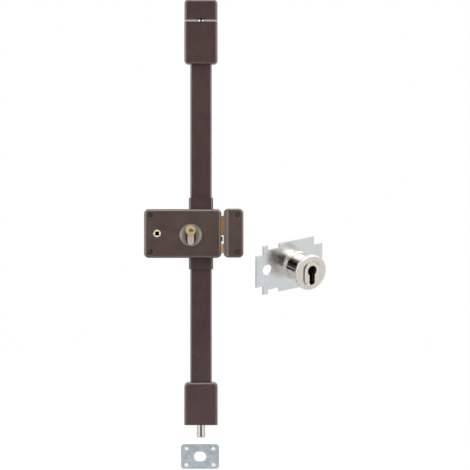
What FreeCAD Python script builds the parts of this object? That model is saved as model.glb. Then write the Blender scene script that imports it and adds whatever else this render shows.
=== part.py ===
import FreeCAD, Part
import math
import os

import Sketcher
from FreeCAD import Placement, Rotation, Vector

# Surface mounted multipoint lock: a case with a geared drive, a rod and a pin above and below it,
# the keeps that take the bolts, the floor plate, and the guard for the door's outer side.
# X runs to the right along the door, Y into the door and Z up. The door's face is at Y = 0,
# the rods' axis at X = 0 and the follower's axis at Z = 0.

SIZES = (
    ("case_left", 95.3, "case, from the rods' axis to its left side"),
    ("case_right", 34.3, "case, from the rods' axis to its right side"),
    ("case_over", 11.3, "case, above the deadbolt"),
    ("case_under", 8.0, "case, below the latch"),
    ("case_deep", 40.0, "case depth off the door"),
    ("case_wall", 2.0, "case wall"),
    ("case_corner", 8.0, "corner radius seen from the front"),
    ("case_round", 4.5, "radius round the front edge"),
    ("plate_thick", 2.0, "steel back plate"),
    ("seat_gap", 0.1, "gap round a piece that sits in another"),
    ("slide_gap", 0.3, "gap round a piece that slides in a window"),
    ("run_gap", 0.05, "radial clearance of a shaft in its hole"),
    ("post_in", 11.0, "fixing posts, from the case's left side"),
    ("post_down", 10.0, "fixing posts, from the case's upper and lower sides"),
    ("post_bore", 8.2, "recess for the head of a fixing screw"),
    ("post_wall", 2.0, "wall of a fixing post"),
    ("fixing_hole", 5.0, "hole for a fixing screw"),
    ("axis_left", 17.0, "key axis, from the rods' axis"),
    ("axis_up", 5.3, "key axis, over the follower's"),
    ("barrel_wide", 17.0, "cylinder, its round part"),
    ("leg_wide", 10.0, "cylinder, its leg"),
    ("cylinder_tall", 33.0, "cylinder height"),
    ("cylinder_proud", 1.4, "cylinder, out of the case's face"),
    ("plug_wide", 12.6, "key plug"),
    ("plug_tail", 8.0, "plug's tail, which carries the cam gear"),
    ("plug_proud", 0.3, "key plug, out of the cylinder's face"),
    ("key_left", 3.4, "keyway, left of the key axis"),
    ("key_right", 5.6, "keyway, right of the key axis"),
    ("key_step", 1.0, "keyway's step, right of the key axis"),
    ("key_tall", 1.9, "keyway height, right of its step"),
    ("key_ward", 0.9, "keyway height, left of its step"),
    ("key_deep", 22.0, "keyway depth"),
    ("cam_back", 6.0, "cam gap, from the door"),
    ("cam_front", 16.0, "cam gap's other side, from the door"),
    ("cam_side_gap", 2.0, "gap beside the cam gear"),
    ("disc_wide", 37.0, "disc round the cylinder"),
    ("disc_proud", 0.8, "disc, out of the case's face"),
    ("disc_gap", 0.4, "gap round the disc in the case"),
    ("disc_flange", 2.0, "disc flange, past its hole in the case"),
    ("disc_flange_thick", 1.5, "disc flange thickness"),
    ("disc_window", 17.4, "disc's opening, its width"),
    ("disc_window_tall", 33.6, "disc's opening, its height"),
    ("screw_wide", 5.0, "cylinder screw"),
    ("screw_drop", 14.5, "cylinder screw, below the key axis"),
    ("screw_head", 8.0, "cylinder screw's head"),
    ("screw_head_thick", 2.5, "thickness of that head"),
    ("screw_slot", 1.0, "slot in that head"),
    ("module", 1.0, "gear tooth size, pitch diameter over teeth"),
    ("cam_teeth", 14.0, "teeth of the cam gear"),
    ("wheel_teeth", 32.0, "teeth of the drive wheel"),
    ("pinion_teeth", 13.0, "teeth of the pinion behind the rods"),
    ("mesh_angle", 24.95, "from the key axis to the drive wheel's, over level"),
    ("tooth_play", 0.16, "backlash, off each tooth's thickness"),
    ("wheel_thick", 5.0, "drive wheel thickness"),
    ("wheel_windows", 4.0, "round windows in the drive wheel"),
    ("window_wide", 4.4, "width of those windows"),
    ("rack_run", 6.0, "racks, past the drive wheel's axis"),
    ("rack_spare", 5.0, "rack teeth, past the throw"),
    ("rod_mid", 18.0, "middle of the rods, from the door"),
    ("rod_thick", 6.0, "rod thickness"),
    ("rod_wide", 16.0, "rod width"),
    ("rack_back", 3.6, "rod's metal behind its rack teeth"),
    ("bolt_front", 37.0, "front of the bolts, from the door"),
    ("bolt_thick", 14.0, "bolt thickness"),
    ("arm_thick", 5.0, "bolt arms, which lie in front of the rods"),
    ("deadbolt_top", 29.7, "deadbolt's upper edge"),
    ("deadbolt_tall", 32.9, "deadbolt height"),
    ("deadbolt_reach", 17.7, "deadbolt, out of the case"),
    ("deadbolt_long", 22.0, "deadbolt block length"),
    ("deadbolt_edge", 0.8, "radius round the deadbolt's end"),
    ("rack_tall", 7.0, "deadbolt rack's metal over its teeth"),
    ("latch_top", -17.0, "latch's upper edge"),
    ("latch_tall", 16.0, "latch height"),
    ("latch_reach", 12.0, "latch, out of the case"),
    ("latch_long", 17.7, "latch block length"),
    ("latch_bevel", 9.0, "length of the latch's slope"),
    ("latch_nose", 4.0, "flat left at the latch's tip"),
    ("tail_drop", 5.0, "latch's arm, below its upper edge"),
    ("tail_tall", 7.0, "latch's arm height"),
    ("rivet_wide", 3.0, "rivets of the bolt arms"),
    ("arm_lap", 8.0, "bolt arm, into its block"),
    ("follower_in", 22.0, "follower's axis, from the case's left side"),
    ("follower_hub", 12.4, "follower, in the case's face"),
    ("follower_body", 16.0, "follower inside the case"),
    ("follower_square", 7.0, "square hole for the spindle"),
    ("follower_end", 0.2, "gap at the follower's shoulders"),
    ("lever_long", 18.0, "follower's lever, to the middle of its round end"),
    ("lever_wide", 5.0, "follower's lever width"),
    ("fork_gap", 0.8, "gap each side of the lever in the arm's fork"),
    ("fork_wall", 3.4, "metal round the fork"),
    ("spring_wide", 6.0, "latch spring, outside"),
    ("spring_wire", 0.9, "latch spring's wire"),
    ("spring_turns", 7.0, "latch spring's turns"),
    ("spring_long", 27.0, "latch spring, at rest"),
    ("rib_thick", 2.0, "rib that backs the latch spring"),
    ("guide_thick", 2.0, "steel bolt guide inside the case"),
    ("axle_wide", 5.0, "axle of the drive wheel"),
    ("axle_collar", 9.0, "shoulder and clip on that axle"),
    ("clip_thick", 1.0, "axle clip"),
    ("end_gap", 0.2, "gap beside a wheel on its axle"),
    ("upper_end", 355.7, "free end of the upper guide box"),
    ("lower_end", 321.0, "free end of the lower guide box, below the follower's axis"),
    ("box_wide", 55.8, "guide box width"),
    ("box_tall", 71.4, "guide box height"),
    ("box_deep", 36.0, "guide box depth"),
    ("box_wall", 2.0, "guide box wall"),
    ("box_corner", 7.0, "guide box corner radius, at the rod's side"),
    ("box_round", 4.2, "radius round the guide box's front"),
    ("cover_wide", 36.0, "rod cover width"),
    ("cover_deep", 28.0, "rod cover depth"),
    ("cover_wall", 1.5, "rod cover wall"),
    ("cover_round", 3.3, "rod cover's edge radius"),
    ("cover_lap", 10.0, "rod cover, into a guide box"),
    ("collar_tall", 19.0, "collar height"),
    ("collar_wall", 2.2, "collar wall"),
    ("collar_round", 4.2, "collar's edge radius"),
    ("pin_wide", 14.0, "shoot pin"),
    ("pin_long", 62.0, "shoot pin length"),
    ("pin_tip", 1.6, "chamfer of the pin's tip"),
    ("upper_throw", 17.5, "upper pin, out of its guide box"),
    ("lower_throw", 21.7, "lower pin, out of its guide box"),
    ("slot_deep", 20.0, "slot in a pin for its rod"),
    ("slot_spare", 0.5, "gap at the bottom of that slot"),
    ("cross_pin", 4.0, "rivet through a pin and its rod"),
    ("rivet_in", 0.5, "that rivet's ends, below the pin's surface"),
    ("bearing_wide", 46.0, "pin bearing width"),
    ("bearing_tall", 18.0, "pin bearing height"),
    ("bearing_deep", 32.0, "pin bearing depth off the door"),
    ("bearing_pitch", 34.0, "fixing holes of a pin bearing"),
    ("top_keep_gap", 3.1, "upper guide box to top keep"),
    ("top_keep_wide", 55.3, "top keep width"),
    ("top_keep_tall", 33.7, "top keep height"),
    ("keep_hole_gap", 1.2, "gap round a pin in a keep"),
    ("notch_radius", 12.0, "arched notch in the top keep's front"),
    ("notch_rise", 2.4, "how high that notch reaches"),
    ("side_keep_gap", 3.7, "case to side keep"),
    ("side_keep_wide", 33.3, "side keep width"),
    ("side_keep_deep", 43.0, "side keep depth"),
    ("side_keep_wall", 2.5, "side keep wall"),
    ("side_keep_up", 0.6, "side keep, higher than the case"),
    ("side_keep_round", 3.5, "radius round the side keep's front"),
    ("slope_run", 8.0, "slope of the side keep, seen from the front"),
    ("slope_deep", 3.5, "slope of the side keep, along its depth"),
    ("keep_window_gap", 1.2, "gap round a bolt in the side keep"),
    ("keep_post_in", 10.0, "side keep's fixing posts, from its right side"),
    ("floor_wide", 64.0, "floor plate width"),
    ("floor_tall", 41.4, "floor plate, other side"),
    ("floor_thick", 3.0, "floor plate thickness"),
    ("floor_corner", 5.0, "floor plate corner radius"),
    ("floor_left", 1.9, "floor plate, left of the rods' axis"),
    ("floor_drop", 375.9, "floor plate's middle, below the follower's axis"),
    ("floor_pitch_wide", 45.7, "floor plate holes, side to side"),
    ("floor_pitch_tall", 27.0, "floor plate holes, top to bottom"),
    ("floor_hole", 4.5, "floor plate screw hole"),
    ("floor_sink", 8.2, "its countersink"),
    ("floor_slot_wide", 20.5, "floor plate's oval hole, its width"),
    ("floor_slot_tall", 16.4, "floor plate's oval hole, its height"),
    ("guard_x", 159.6, "guard's axis on its plate, right of the rods"),
    ("guard_y", 30.0, "guard's axis on its plate, off the door"),
    ("guard_z", 49.8, "guard's axis on its plate, below the follower's"),
    ("guard_yaw", 33.0, "guard turned to the right"),
    ("guard_pitch", 18.0, "guard tipped forward"),
    ("guard_left", 80.0, "guard plate, left of its axis"),
    ("guard_right", 53.0, "guard plate, right of its axis"),
    ("guard_thick", 2.5, "guard plate thickness"),
    ("guard_tall", 85.0, "guard plate height"),
    ("guard_end_tall", 55.0, "guard plate height at its two ends"),
    ("guard_neck_tall", 70.0, "guard plate height at its neck"),
    ("guard_tab_in", 14.0, "guard plate's tab, from the left end"),
    ("guard_tab_wide", 9.5, "width of that tab"),
    ("guard_step_in", 46.0, "end of the neck, from the left end"),
    ("guard_end_wide", 17.0, "guard plate's right end"),
    ("guard_below", 1.3, "guard's axis, over the plate's middle"),
    ("spindle_wide", 18.5, "spindle hole in the guard plate"),
    ("guard_barrel_wall", 0.6, "guard barrel's metal under the keyhole opening"),
    ("guard_barrel_long", 39.0, "guard barrel, plate to rose"),
    ("guard_ring_over", 3.5, "ring at the barrel's foot, out of the barrel"),
    ("guard_ring_thick", 5.0, "thickness of that ring"),
    ("rose_over", 5.4, "guard rose, past the groove under its insert"),
    ("rose_thick", 6.0, "guard rose thickness"),
    ("rose_rim", 2.0, "radius of the rose's rim"),
    ("insert_side", 5.6, "guard insert's metal beside the keyhole opening"),
    ("insert_foot", 2.1, "guard insert's metal under the keyhole opening"),
    ("insert_proud", 2.8, "guard insert, out of the rose"),
    ("insert_seat", 3.0, "guard insert, into the rose"),
    ("insert_groove", 1.6, "groove round the guard insert"),
    ("insert_drop", 6.0, "middle of the insert, below the key axis"),
    ("rose_drop", 4.0, "middle of the rose, below the key axis"),
    ("profile_gap", 0.4, "gap round a cylinder in the guard"),
)

doc = FreeCAD.newDocument("SurfaceMultipointLock")
sheet = doc.addObject("Spreadsheet::Sheet", "Sizes")


class Size:
    """A length, count or angle: its number, and the sheet expression that gives it."""

    def __init__(self, number, text):
        self.number = number
        self.text = text

    def __add__(self, other):
        other = as_size(other)
        return Size(self.number + other.number, f"({self.text} + {other.text})")

    def __sub__(self, other):
        other = as_size(other)
        return Size(self.number - other.number, f"({self.text} - {other.text})")

    def __mul__(self, other):
        other = as_size(other)
        return Size(self.number * other.number, f"({self.text} * {other.text})")

    def __truediv__(self, other):
        other = as_size(other)
        return Size(self.number / other.number, f"({self.text} / {other.text})")

    def __radd__(self, other):
        return as_size(other) + self

    def __rsub__(self, other):
        return as_size(other) - self

    def __rmul__(self, other):
        return as_size(other) * self

    def __neg__(self):
        return Size(-self.number, f"(0 - {self.text})")

    def __float__(self):
        return float(self.number)


def as_size(value):
    """A plain number as a Size, so that the two can be added."""
    return value if isinstance(value, Size) else Size(float(value), repr(float(value)))


def cosine(angle):
    return Size(math.cos(math.radians(angle.number)), f"cos({angle.text})")


def sine(angle):
    return Size(math.sin(math.radians(angle.number)), f"sin({angle.text})")


class Sheet:
    """The sheet's sizes by name."""


mm = Sheet()
for row, (alias, number, meaning) in enumerate(SIZES, start=1):
    sheet.set(f"A{row}", alias)
    sheet.set(f"B{row}", str(number))
    sheet.setAlias(f"B{row}", alias)
    sheet.set(f"C{row}", meaning)
    setattr(mm, alias, Size(number, f"Sizes.{alias}"))
doc.recompute()

pieces = {}


def keep(node, thing):
    """Name a finished sub-part."""
    thing.Label = node
    pieces[node] = thing
    return thing


def bind(thing, **properties):
    """Bind properties to the sheet, such as Length=mm.case_deep."""
    for name, value in properties.items():
        thing.setExpression(name, as_size(value).text)


def move_to(thing, x, y, z):
    for letter, value in zip("xyz", (x, y, z)):
        thing.setExpression(f"Placement.Base.{letter}", as_size(value).text)


# Solids that need no sketch: blocks, round bars, and what is fused or cut from them.

TURNS = {
    "+X": Rotation(Vector(0, 1, 0), 90),
    "+Y": Rotation(Vector(1, 0, 0), -90),
    "-Y": Rotation(Vector(1, 0, 0), 90),
    "+Z": Rotation(),
}


def block(name, x, y, z):
    """A block; x, y and z are each its low and high ends."""
    thing = doc.addObject("Part::Box", name)
    bind(thing, Length=x[1] - x[0], Width=y[1] - y[0], Height=z[1] - z[0])
    move_to(thing, x[0], y[0], z[0])
    return thing


def bar(name, axis, start, length, wide):
    """A round bar from the point start along an axis."""
    thing = doc.addObject("Part::Cylinder", name)
    thing.Placement = Placement(Vector(), TURNS[axis])
    bind(thing, Radius=as_size(wide) / 2, Height=length)
    move_to(thing, *start)
    return thing


def taper(name, axis, start, length, wide_start, wide_end):
    """A cone frustum from the point start along an axis."""
    thing = doc.addObject("Part::Cone", name)
    thing.Placement = Placement(Vector(), TURNS[axis])
    bind(thing, Radius1=as_size(wide_start) / 2, Radius2=as_size(wide_end) / 2, Height=length)
    move_to(thing, *start)
    return thing


def fuse(name, *things):
    thing = doc.addObject("Part::MultiFuse", name)
    thing.Shapes = list(things)
    thing.Refine = True
    return thing


def cut(name, base, *tools):
    thing = doc.addObject("Part::Cut", name)
    thing.Base = base
    thing.Tool = tools[0] if len(tools) == 1 else fuse(name + "_tools", *tools)
    thing.Refine = True
    return thing


def stadium(name, x, z, wide, tall, front, back):
    """An upright stadium, round at top and bottom, from y = front to y = back."""
    rise = (tall - wide) / 2
    return fuse(
        name,
        bar(name + "_top", "+Y", (x, front, z + rise), back - front, wide),
        bar(name + "_foot", "+Y", (x, front, z - rise), back - front, wide),
        block(name + "_middle", (x - wide / 2, x + wide / 2), (front, back), (z - rise, z + rise)),
    )


def cylinder_profile(name, x, z, front, back, gap):
    """The keyhole outline of a lock cylinder about its key axis, with a gap all round."""
    wide = mm.barrel_wide + gap * 2
    leg = mm.leg_wide + gap * 2
    foot = z + mm.barrel_wide / 2 - mm.cylinder_tall + mm.leg_wide / 2
    return fuse(
        name,
        bar(name + "_round", "+Y", (x, front, z), back - front, wide),
        bar(name + "_foot", "+Y", (x, front, foot), back - front, leg),
        block(name + "_leg", (x - leg / 2, x + leg / 2), (front, back), (foot, z)),
    )


# Bodies made from sketches. A sketch on XZ_Plane looks from the room at the door: its pad comes
# off the door. One on XY_Plane is a section that runs upwards.


def body_named(node):
    body = doc.addObject("PartDesign::Body", node + "_body")
    return keep(node, body)


def sketch_in(body, name, role, offset=0.0):
    """A sketch on one of its body's own planes, moved along the plane's normal."""
    sketch = body.newObject("Sketcher::SketchObject", name)
    plane = [feature for feature in body.Origin.OriginFeatures if feature.Role == role][0]
    sketch.AttachmentSupport = [(plane, "")]
    sketch.MapMode = "FlatFace"
    offset = as_size(offset)
    sketch.AttachmentOffset = Placement(Vector(0, 0, offset.number), Rotation())
    sketch.setExpression("AttachmentOffset.Base.z", offset.text)
    return sketch


def hold(sketch, kind, *where):
    """A distance from the sketch's origin, bound to the sheet."""
    *place, value = where
    value = as_size(value)
    index = sketch.addConstraint(Sketcher.Constraint(kind, *place, value.number))
    sketch.setExpression(f"Constraints[{index}]", value.text)


def outline(sketch, corners):
    """A closed outline of straight edges, every corner held to the sheet."""
    first = sketch.GeometryCount
    count = len(corners)
    points = [Vector(as_size(x).number, as_size(y).number, 0) for x, y in corners]
    lines = [Part.LineSegment(points[i], points[(i + 1) % count]) for i in range(count)]
    sketch.addGeometry(lines, False)
    joints = [
        Sketcher.Constraint("Coincident", first + i, 2, first + (i + 1) % count, 1)
        for i in range(count)
    ]
    sketch.addConstraint(joints)
    for i, (x, y) in enumerate(corners):
        hold(sketch, "DistanceX", -1, 1, first + i, 1, x)
        hold(sketch, "DistanceY", -1, 1, first + i, 1, y)


def rectangle(sketch, x, y):
    """A rectangle; x and y are each its low and high ends."""
    outline(sketch, [(x[0], y[0]), (x[1], y[0]), (x[1], y[1]), (x[0], y[1])])


def circle(sketch, x, y, wide):
    x, y, wide = as_size(x), as_size(y), as_size(wide)
    index = sketch.addGeometry(
        Part.Circle(Vector(x.number, y.number, 0), Vector(0, 0, 1), wide.number / 2), False
    )
    hold(sketch, "DistanceX", -1, 1, index, 3, x)
    hold(sketch, "DistanceY", -1, 1, index, 3, y)
    hold(sketch, "Diameter", index, wide)


def pad(body, sketch, length):
    feature = body.newObject("PartDesign::Pad", sketch.Name + "_pad")
    feature.Profile = sketch
    bind(feature, Length=length)
    doc.recompute()
    return feature


def pocket(body, sketch, depth=None, along_normal=False, both_ways=False):
    """Cut a sketch out of its body, right through where no depth is given."""
    before = body.Shape.Volume
    feature = body.newObject("PartDesign::Pocket", sketch.Name + "_cut")
    feature.Profile = sketch
    feature.Reversed = along_normal
    if both_ways:
        feature.SideType = "Symmetric"
    if depth is None:
        feature.Type = "ThroughAll"
    else:
        bind(feature, Length=depth)
    doc.recompute()
    if body.Shape.Volume > before - 1e-6:
        raise RuntimeError(f"{feature.Name} cuts nothing")
    return feature


def edges_where(shape, chosen):
    return [f"Edge{i}" for i, edge in enumerate(shape.Edges, start=1) if chosen(edge)]


def runs_along(edge, letter):
    """Whether an edge is straight and parallel to an axis."""
    box = edge.BoundBox
    spans = {"X": box.XLength, "Y": box.YLength, "Z": box.ZLength}
    along = spans.pop(letter)
    return along > 1e-3 and max(spans.values()) < 1e-4


def round_edges(body, base, name, radius, chosen):
    feature = body.newObject("PartDesign::Fillet", name)
    feature.Base = (base, edges_where(base.Shape, chosen))
    bind(feature, Radius=radius)
    doc.recompute()
    return feature


def shell(body, base, name, wall, open_face):
    """Hollow out a body from the inside, open at the faces chosen."""
    feature = body.newObject("PartDesign::Thickness", name)
    faces = [f"Face{i}" for i, face in enumerate(base.Shape.Faces, start=1) if open_face(face)]
    feature.Base = (base, faces)
    feature.Reversed = True
    bind(feature, Value=wall)
    doc.recompute()
    return feature


def at_door(face):
    return face.BoundBox.YMin > -1e-3


def at_front(edge, deep):
    return edge.BoundBox.YMax < 1e-3 - float(deep)


# Places that several pieces share.

case_left = -mm.case_left
case_right = mm.case_right
case_top = mm.deadbolt_top + mm.case_over
case_foot = mm.latch_top - mm.latch_tall - mm.case_under
case_front = -mm.case_deep
inner_front = case_front + mm.case_wall
inner_right = case_right - mm.case_wall
post_x = case_left + mm.post_in
post_heights = (case_top - mm.post_down, case_foot + mm.post_down)
plate_front = -mm.plate_thick

key_x = -mm.axis_left
key_z = mm.axis_up
cylinder_front = case_front - mm.cylinder_proud
disc_z = key_z + mm.barrel_wide / 2 - mm.cylinder_tall / 2

mesh_distance = (mm.cam_teeth + mm.wheel_teeth) * mm.module / 2
wheel_x = key_x + mesh_distance * cosine(mm.mesh_angle)
wheel_z = key_z + mesh_distance * sine(mm.mesh_angle)
pinion_radius = mm.pinion_teeth * mm.module / 2

ADDENDUM = 0.8
DEDENDUM = 1.1
PRESSURE_ANGLE = math.radians(20)
FLANK_STEPS = 4
WIRE_SIDES = 6
tip_rise = mm.module * ADDENDUM
root_drop = mm.module * DEDENDUM

# One turn of the key moves the bolts and rods by this much.
key_throw = mm.cam_teeth / mm.wheel_teeth * pinion_radius * 2 * math.pi
rack_start = -float(key_throw + mm.rack_spare)

rod_front = -mm.rod_mid - mm.rod_thick / 2
rod_back = -mm.rod_mid + mm.rod_thick / 2
bolt_front = -mm.bolt_front
bolt_back = bolt_front + mm.bolt_thick
arm_front = bolt_back - mm.arm_thick
wheel_back = -mm.cam_back - mm.cam_side_gap - mm.slide_gap
wheel_front = wheel_back - mm.wheel_thick

follower_x = case_left + mm.follower_in
screw_y = -(mm.cam_back + mm.cam_front) / 2
screw_z = key_z - mm.screw_drop

deadbolt_foot = mm.deadbolt_top - mm.deadbolt_tall
deadbolt_tip = case_right + mm.deadbolt_reach
deadbolt_heel = deadbolt_tip - mm.deadbolt_long
latch_foot = mm.latch_top - mm.latch_tall
latch_tip = case_right + mm.latch_reach
latch_heel = latch_tip - mm.latch_long
tail_top = mm.latch_top - mm.tail_drop
tail_foot = tail_top - mm.tail_tall
fork_wide = mm.lever_wide + mm.fork_gap * 2
fork_foot = -mm.lever_long - mm.lever_wide / 2 - mm.fork_gap
spring_y = (bolt_front + arm_front) / 2
spring_z = (mm.latch_top + latch_foot) / 2
rib_x = latch_heel - mm.spring_long


def case_cover():
    """The pressed and painted case: one shell with posts, a rib and the windows for all that
    passes through it."""
    body = body_named("case_cover")
    face = sketch_in(body, "case_face", "XZ_Plane")
    rectangle(face, (case_left, case_right), (case_foot, case_top))
    solid = pad(body, face, mm.case_deep)
    solid = round_edges(body, solid, "case_corners", mm.case_corner, lambda e: runs_along(e, "Y"))
    solid = round_edges(
        body, solid, "case_front_edge", mm.case_round, lambda e: at_front(e, mm.case_deep)
    )
    shell(body, solid, "case_shell", mm.case_wall, at_door)

    posts = sketch_in(body, "case_posts", "XZ_Plane", mm.plate_thick)
    for z in post_heights:
        circle(posts, post_x, z, mm.post_bore + mm.post_wall * 2)
    pad(body, posts, mm.case_deep - mm.plate_thick - mm.case_wall / 2)

    rib = sketch_in(body, "case_rib", "XZ_Plane", -arm_front + 1)
    rectangle(rib, (rib_x - mm.rib_thick, rib_x), (spring_z - mm.spring_wide, spring_z + mm.spring_wide))
    pad(body, rib, mm.case_deep + arm_front - 1 - mm.case_wall / 2)

    front = sketch_in(body, "case_openings", "XZ_Plane")
    for z in post_heights:
        circle(front, post_x, z, mm.post_bore)
    circle(front, key_x, disc_z, mm.disc_wide + mm.disc_gap * 2)
    circle(front, follower_x, 0, mm.follower_hub + mm.run_gap * 2)
    pocket(body, front, along_normal=True)

    side = sketch_in(body, "case_bolt_windows", "YZ_Plane")
    gap = mm.slide_gap
    rectangle(side, (bolt_front - gap, bolt_back + gap), (deadbolt_foot - gap, mm.deadbolt_top + gap))
    rectangle(side, (bolt_front - gap, bolt_back + gap), (latch_foot - gap, mm.latch_top + gap))
    circle(side, screw_y, screw_z, mm.screw_wide + gap * 2)
    pocket(body, side, along_normal=True)

    ends = sketch_in(body, "case_rod_slots", "XY_Plane")
    half = mm.rod_wide / 2 + gap
    rectangle(ends, (-half, half), (rod_front - gap, rod_back + gap))
    pocket(body, ends, both_ways=True)
    return body


def back_plate():
    """The steel plate that closes the case and carries the works."""
    body = body_named("back_plate")
    inset = mm.case_wall + mm.seat_gap
    face = sketch_in(body, "back_plate_face", "XZ_Plane")
    rectangle(face, (case_left + inset, case_right - inset), (case_foot + inset, case_top - inset))
    solid = pad(body, face, mm.plate_thick)
    round_edges(
        body, solid, "back_plate_corners", mm.case_corner - mm.case_wall, lambda e: runs_along(e, "Y")
    )
    holes = sketch_in(body, "back_plate_holes", "XZ_Plane")
    for z in post_heights:
        circle(holes, post_x, z, mm.fixing_hole)
    circle(holes, follower_x, 0, mm.follower_hub + mm.run_gap * 2)
    circle(holes, wheel_x, wheel_z, mm.axle_wide)
    pocket(body, holes, along_normal=True)
    return body


def bolt_guide():
    """The steel lining of the case's right wall, which the bolts slide in."""
    body = body_named("bolt_guide")
    side = sketch_in(body, "bolt_guide_face", "YZ_Plane", inner_right - mm.guide_thick)
    inset = mm.case_wall + mm.case_corner
    rectangle(side, (inner_front + mm.case_round, plate_front), (case_foot + inset, case_top - inset))
    pad(body, side, mm.guide_thick)
    windows = sketch_in(body, "bolt_guide_windows", "YZ_Plane")
    gap = mm.slide_gap
    reach = bolt_front - mm.case_round
    rectangle(windows, (reach, bolt_back + gap), (deadbolt_foot - gap, mm.deadbolt_top + gap))
    rectangle(windows, (reach, bolt_back + gap), (latch_foot - gap, mm.latch_top + gap))
    circle(windows, screw_y, screw_z, mm.screw_wide + gap * 2)
    pocket(body, windows, along_normal=True)
    return body


def cylinder_disc():
    """The turned disc round the cylinder: a flange behind the case's face, and an opening."""
    hole = mm.disc_wide + mm.disc_gap * 2
    front = case_front - mm.disc_proud
    flange = bar(
        "disc_flange", "-Y", (key_x, inner_front + mm.disc_flange_thick, disc_z),
        mm.disc_flange_thick, hole + mm.disc_flange * 2,
    )
    boss = bar("disc_boss", "-Y", (key_x, inner_front, disc_z), inner_front - front, mm.disc_wide)
    window = stadium(
        "disc_window", key_x, disc_z, mm.disc_window, mm.disc_window_tall, front - 1,
        inner_front + mm.disc_flange_thick + 1,
    )
    return keep("cylinder_disc", cut("disc", fuse("disc_solid", flange, boss), window))


def cylinder_body():
    """The half cylinder: a round barrel on a leg, cut across for the cam gear."""
    solid = cylinder_profile("cylinder_solid", key_x, key_z, cylinder_front, plate_front, 0.0)
    clear = mm.cam_teeth * mm.module / 2 + tip_rise + mm.cam_side_gap
    gap = block(
        "cylinder_cam_gap", (key_x - clear, key_x + clear), (-mm.cam_front, -mm.cam_back),
        (key_z - clear, key_z + clear),
    )
    shift = mm.run_gap * 2
    bore = bar(
        "cylinder_bore", "-Y", (key_x, -mm.cam_front + 1, key_z), mm.case_deep, mm.plug_wide + shift
    )
    tail = bar("cylinder_tail_bore", "-Y", (key_x, 0, key_z), mm.cam_front, mm.plug_tail + shift)
    screw = bar(
        "cylinder_screw_bore", "+X", (key_x - mm.leg_wide, screw_y, screw_z), mm.leg_wide * 2,
        mm.screw_wide,
    )
    return keep("cylinder_body", cut("cylinder", solid, gap, bore, tail, screw))


def cylinder_plug():
    """The brass key plug, with its keyway lying level and a tail for the cam gear."""
    face = cylinder_front - mm.plug_proud
    head_back = -mm.cam_front - mm.end_gap
    head = bar("plug_head", "-Y", (key_x, head_back, key_z), head_back - face, mm.plug_wide)
    tail_back = plate_front - mm.end_gap
    tail = bar("plug_tail", "-Y", (key_x, tail_back, key_z), tail_back - head_back, mm.plug_tail)
    foot = key_z - mm.key_tall / 2
    wide_side = block(
        "keyway_wide_side", (key_x + mm.key_step, key_x + mm.key_right), (face - 1, face + mm.key_deep),
        (foot, foot + mm.key_tall),
    )
    ward_side = block(
        "keyway_ward_side", (key_x - mm.key_left, key_x + mm.key_right), (face - 1, face + mm.key_deep),
        (foot, foot + mm.key_ward),
    )
    return keep("cylinder_plug", cut("plug", fuse("plug_solid", head, tail), wide_side, ward_side))


def cylinder_screw():
    """The long screw through the case's side that holds the cylinder by its leg."""
    shank = bar(
        "screw_shank", "+X", (key_x - mm.leg_wide / 4, screw_y, screw_z),
        case_right - key_x + mm.leg_wide / 4, mm.screw_wide,
    )
    head = bar("screw_head", "+X", (case_right, screw_y, screw_z), mm.screw_head_thick, mm.screw_head)
    slot = block(
        "screw_slot", (case_right + mm.screw_head_thick / 2, case_right + mm.screw_head_thick + 1),
        (screw_y - mm.screw_head, screw_y + mm.screw_head),
        (screw_z - mm.screw_slot / 2, screw_z + mm.screw_slot / 2),
    )
    return keep("cylinder_screw", cut("screw", fuse("screw_solid", shank, head), slot))


# Gear teeth. Angles are about +Y seen from the room, counted from +X towards +Z.


def involute_angle(pitch_radius, radius):
    """How far a flank leans in from its place on the pitch circle, at a radius."""
    base = pitch_radius * math.cos(PRESSURE_ANGLE)
    if radius <= base:
        return -(math.tan(PRESSURE_ANGLE) - PRESSURE_ANGLE)
    lean = math.acos(base / radius)
    return math.tan(lean) - lean - (math.tan(PRESSURE_ANGLE) - PRESSURE_ANGLE)


def gear_face(teeth, turn):
    """A spur gear's outline in the XZ plane, a tooth pointing at the angle turn."""
    module = mm.module.number
    pitch_radius = teeth * module / 2
    root = pitch_radius - root_drop.number
    tip = pitch_radius + tip_rise.number
    half = (math.pi * module / 2 - mm.tooth_play.number) / 2 / pitch_radius
    radii = [root + (tip - root) * step / FLANK_STEPS for step in range(FLANK_STEPS + 1)]
    points = []
    for tooth in range(teeth):
        middle = turn + 2 * math.pi * tooth / teeth
        rising = [(radius, middle - half + involute_angle(pitch_radius, radius)) for radius in radii]
        falling = [
            (radius, middle + half - involute_angle(pitch_radius, radius)) for radius in reversed(radii)
        ]
        points += [
            Vector(radius * math.cos(angle), 0, radius * math.sin(angle))
            for radius, angle in rising + falling
        ]
    return Part.Face(Part.makePolygon(points + points[:1]))


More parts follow.
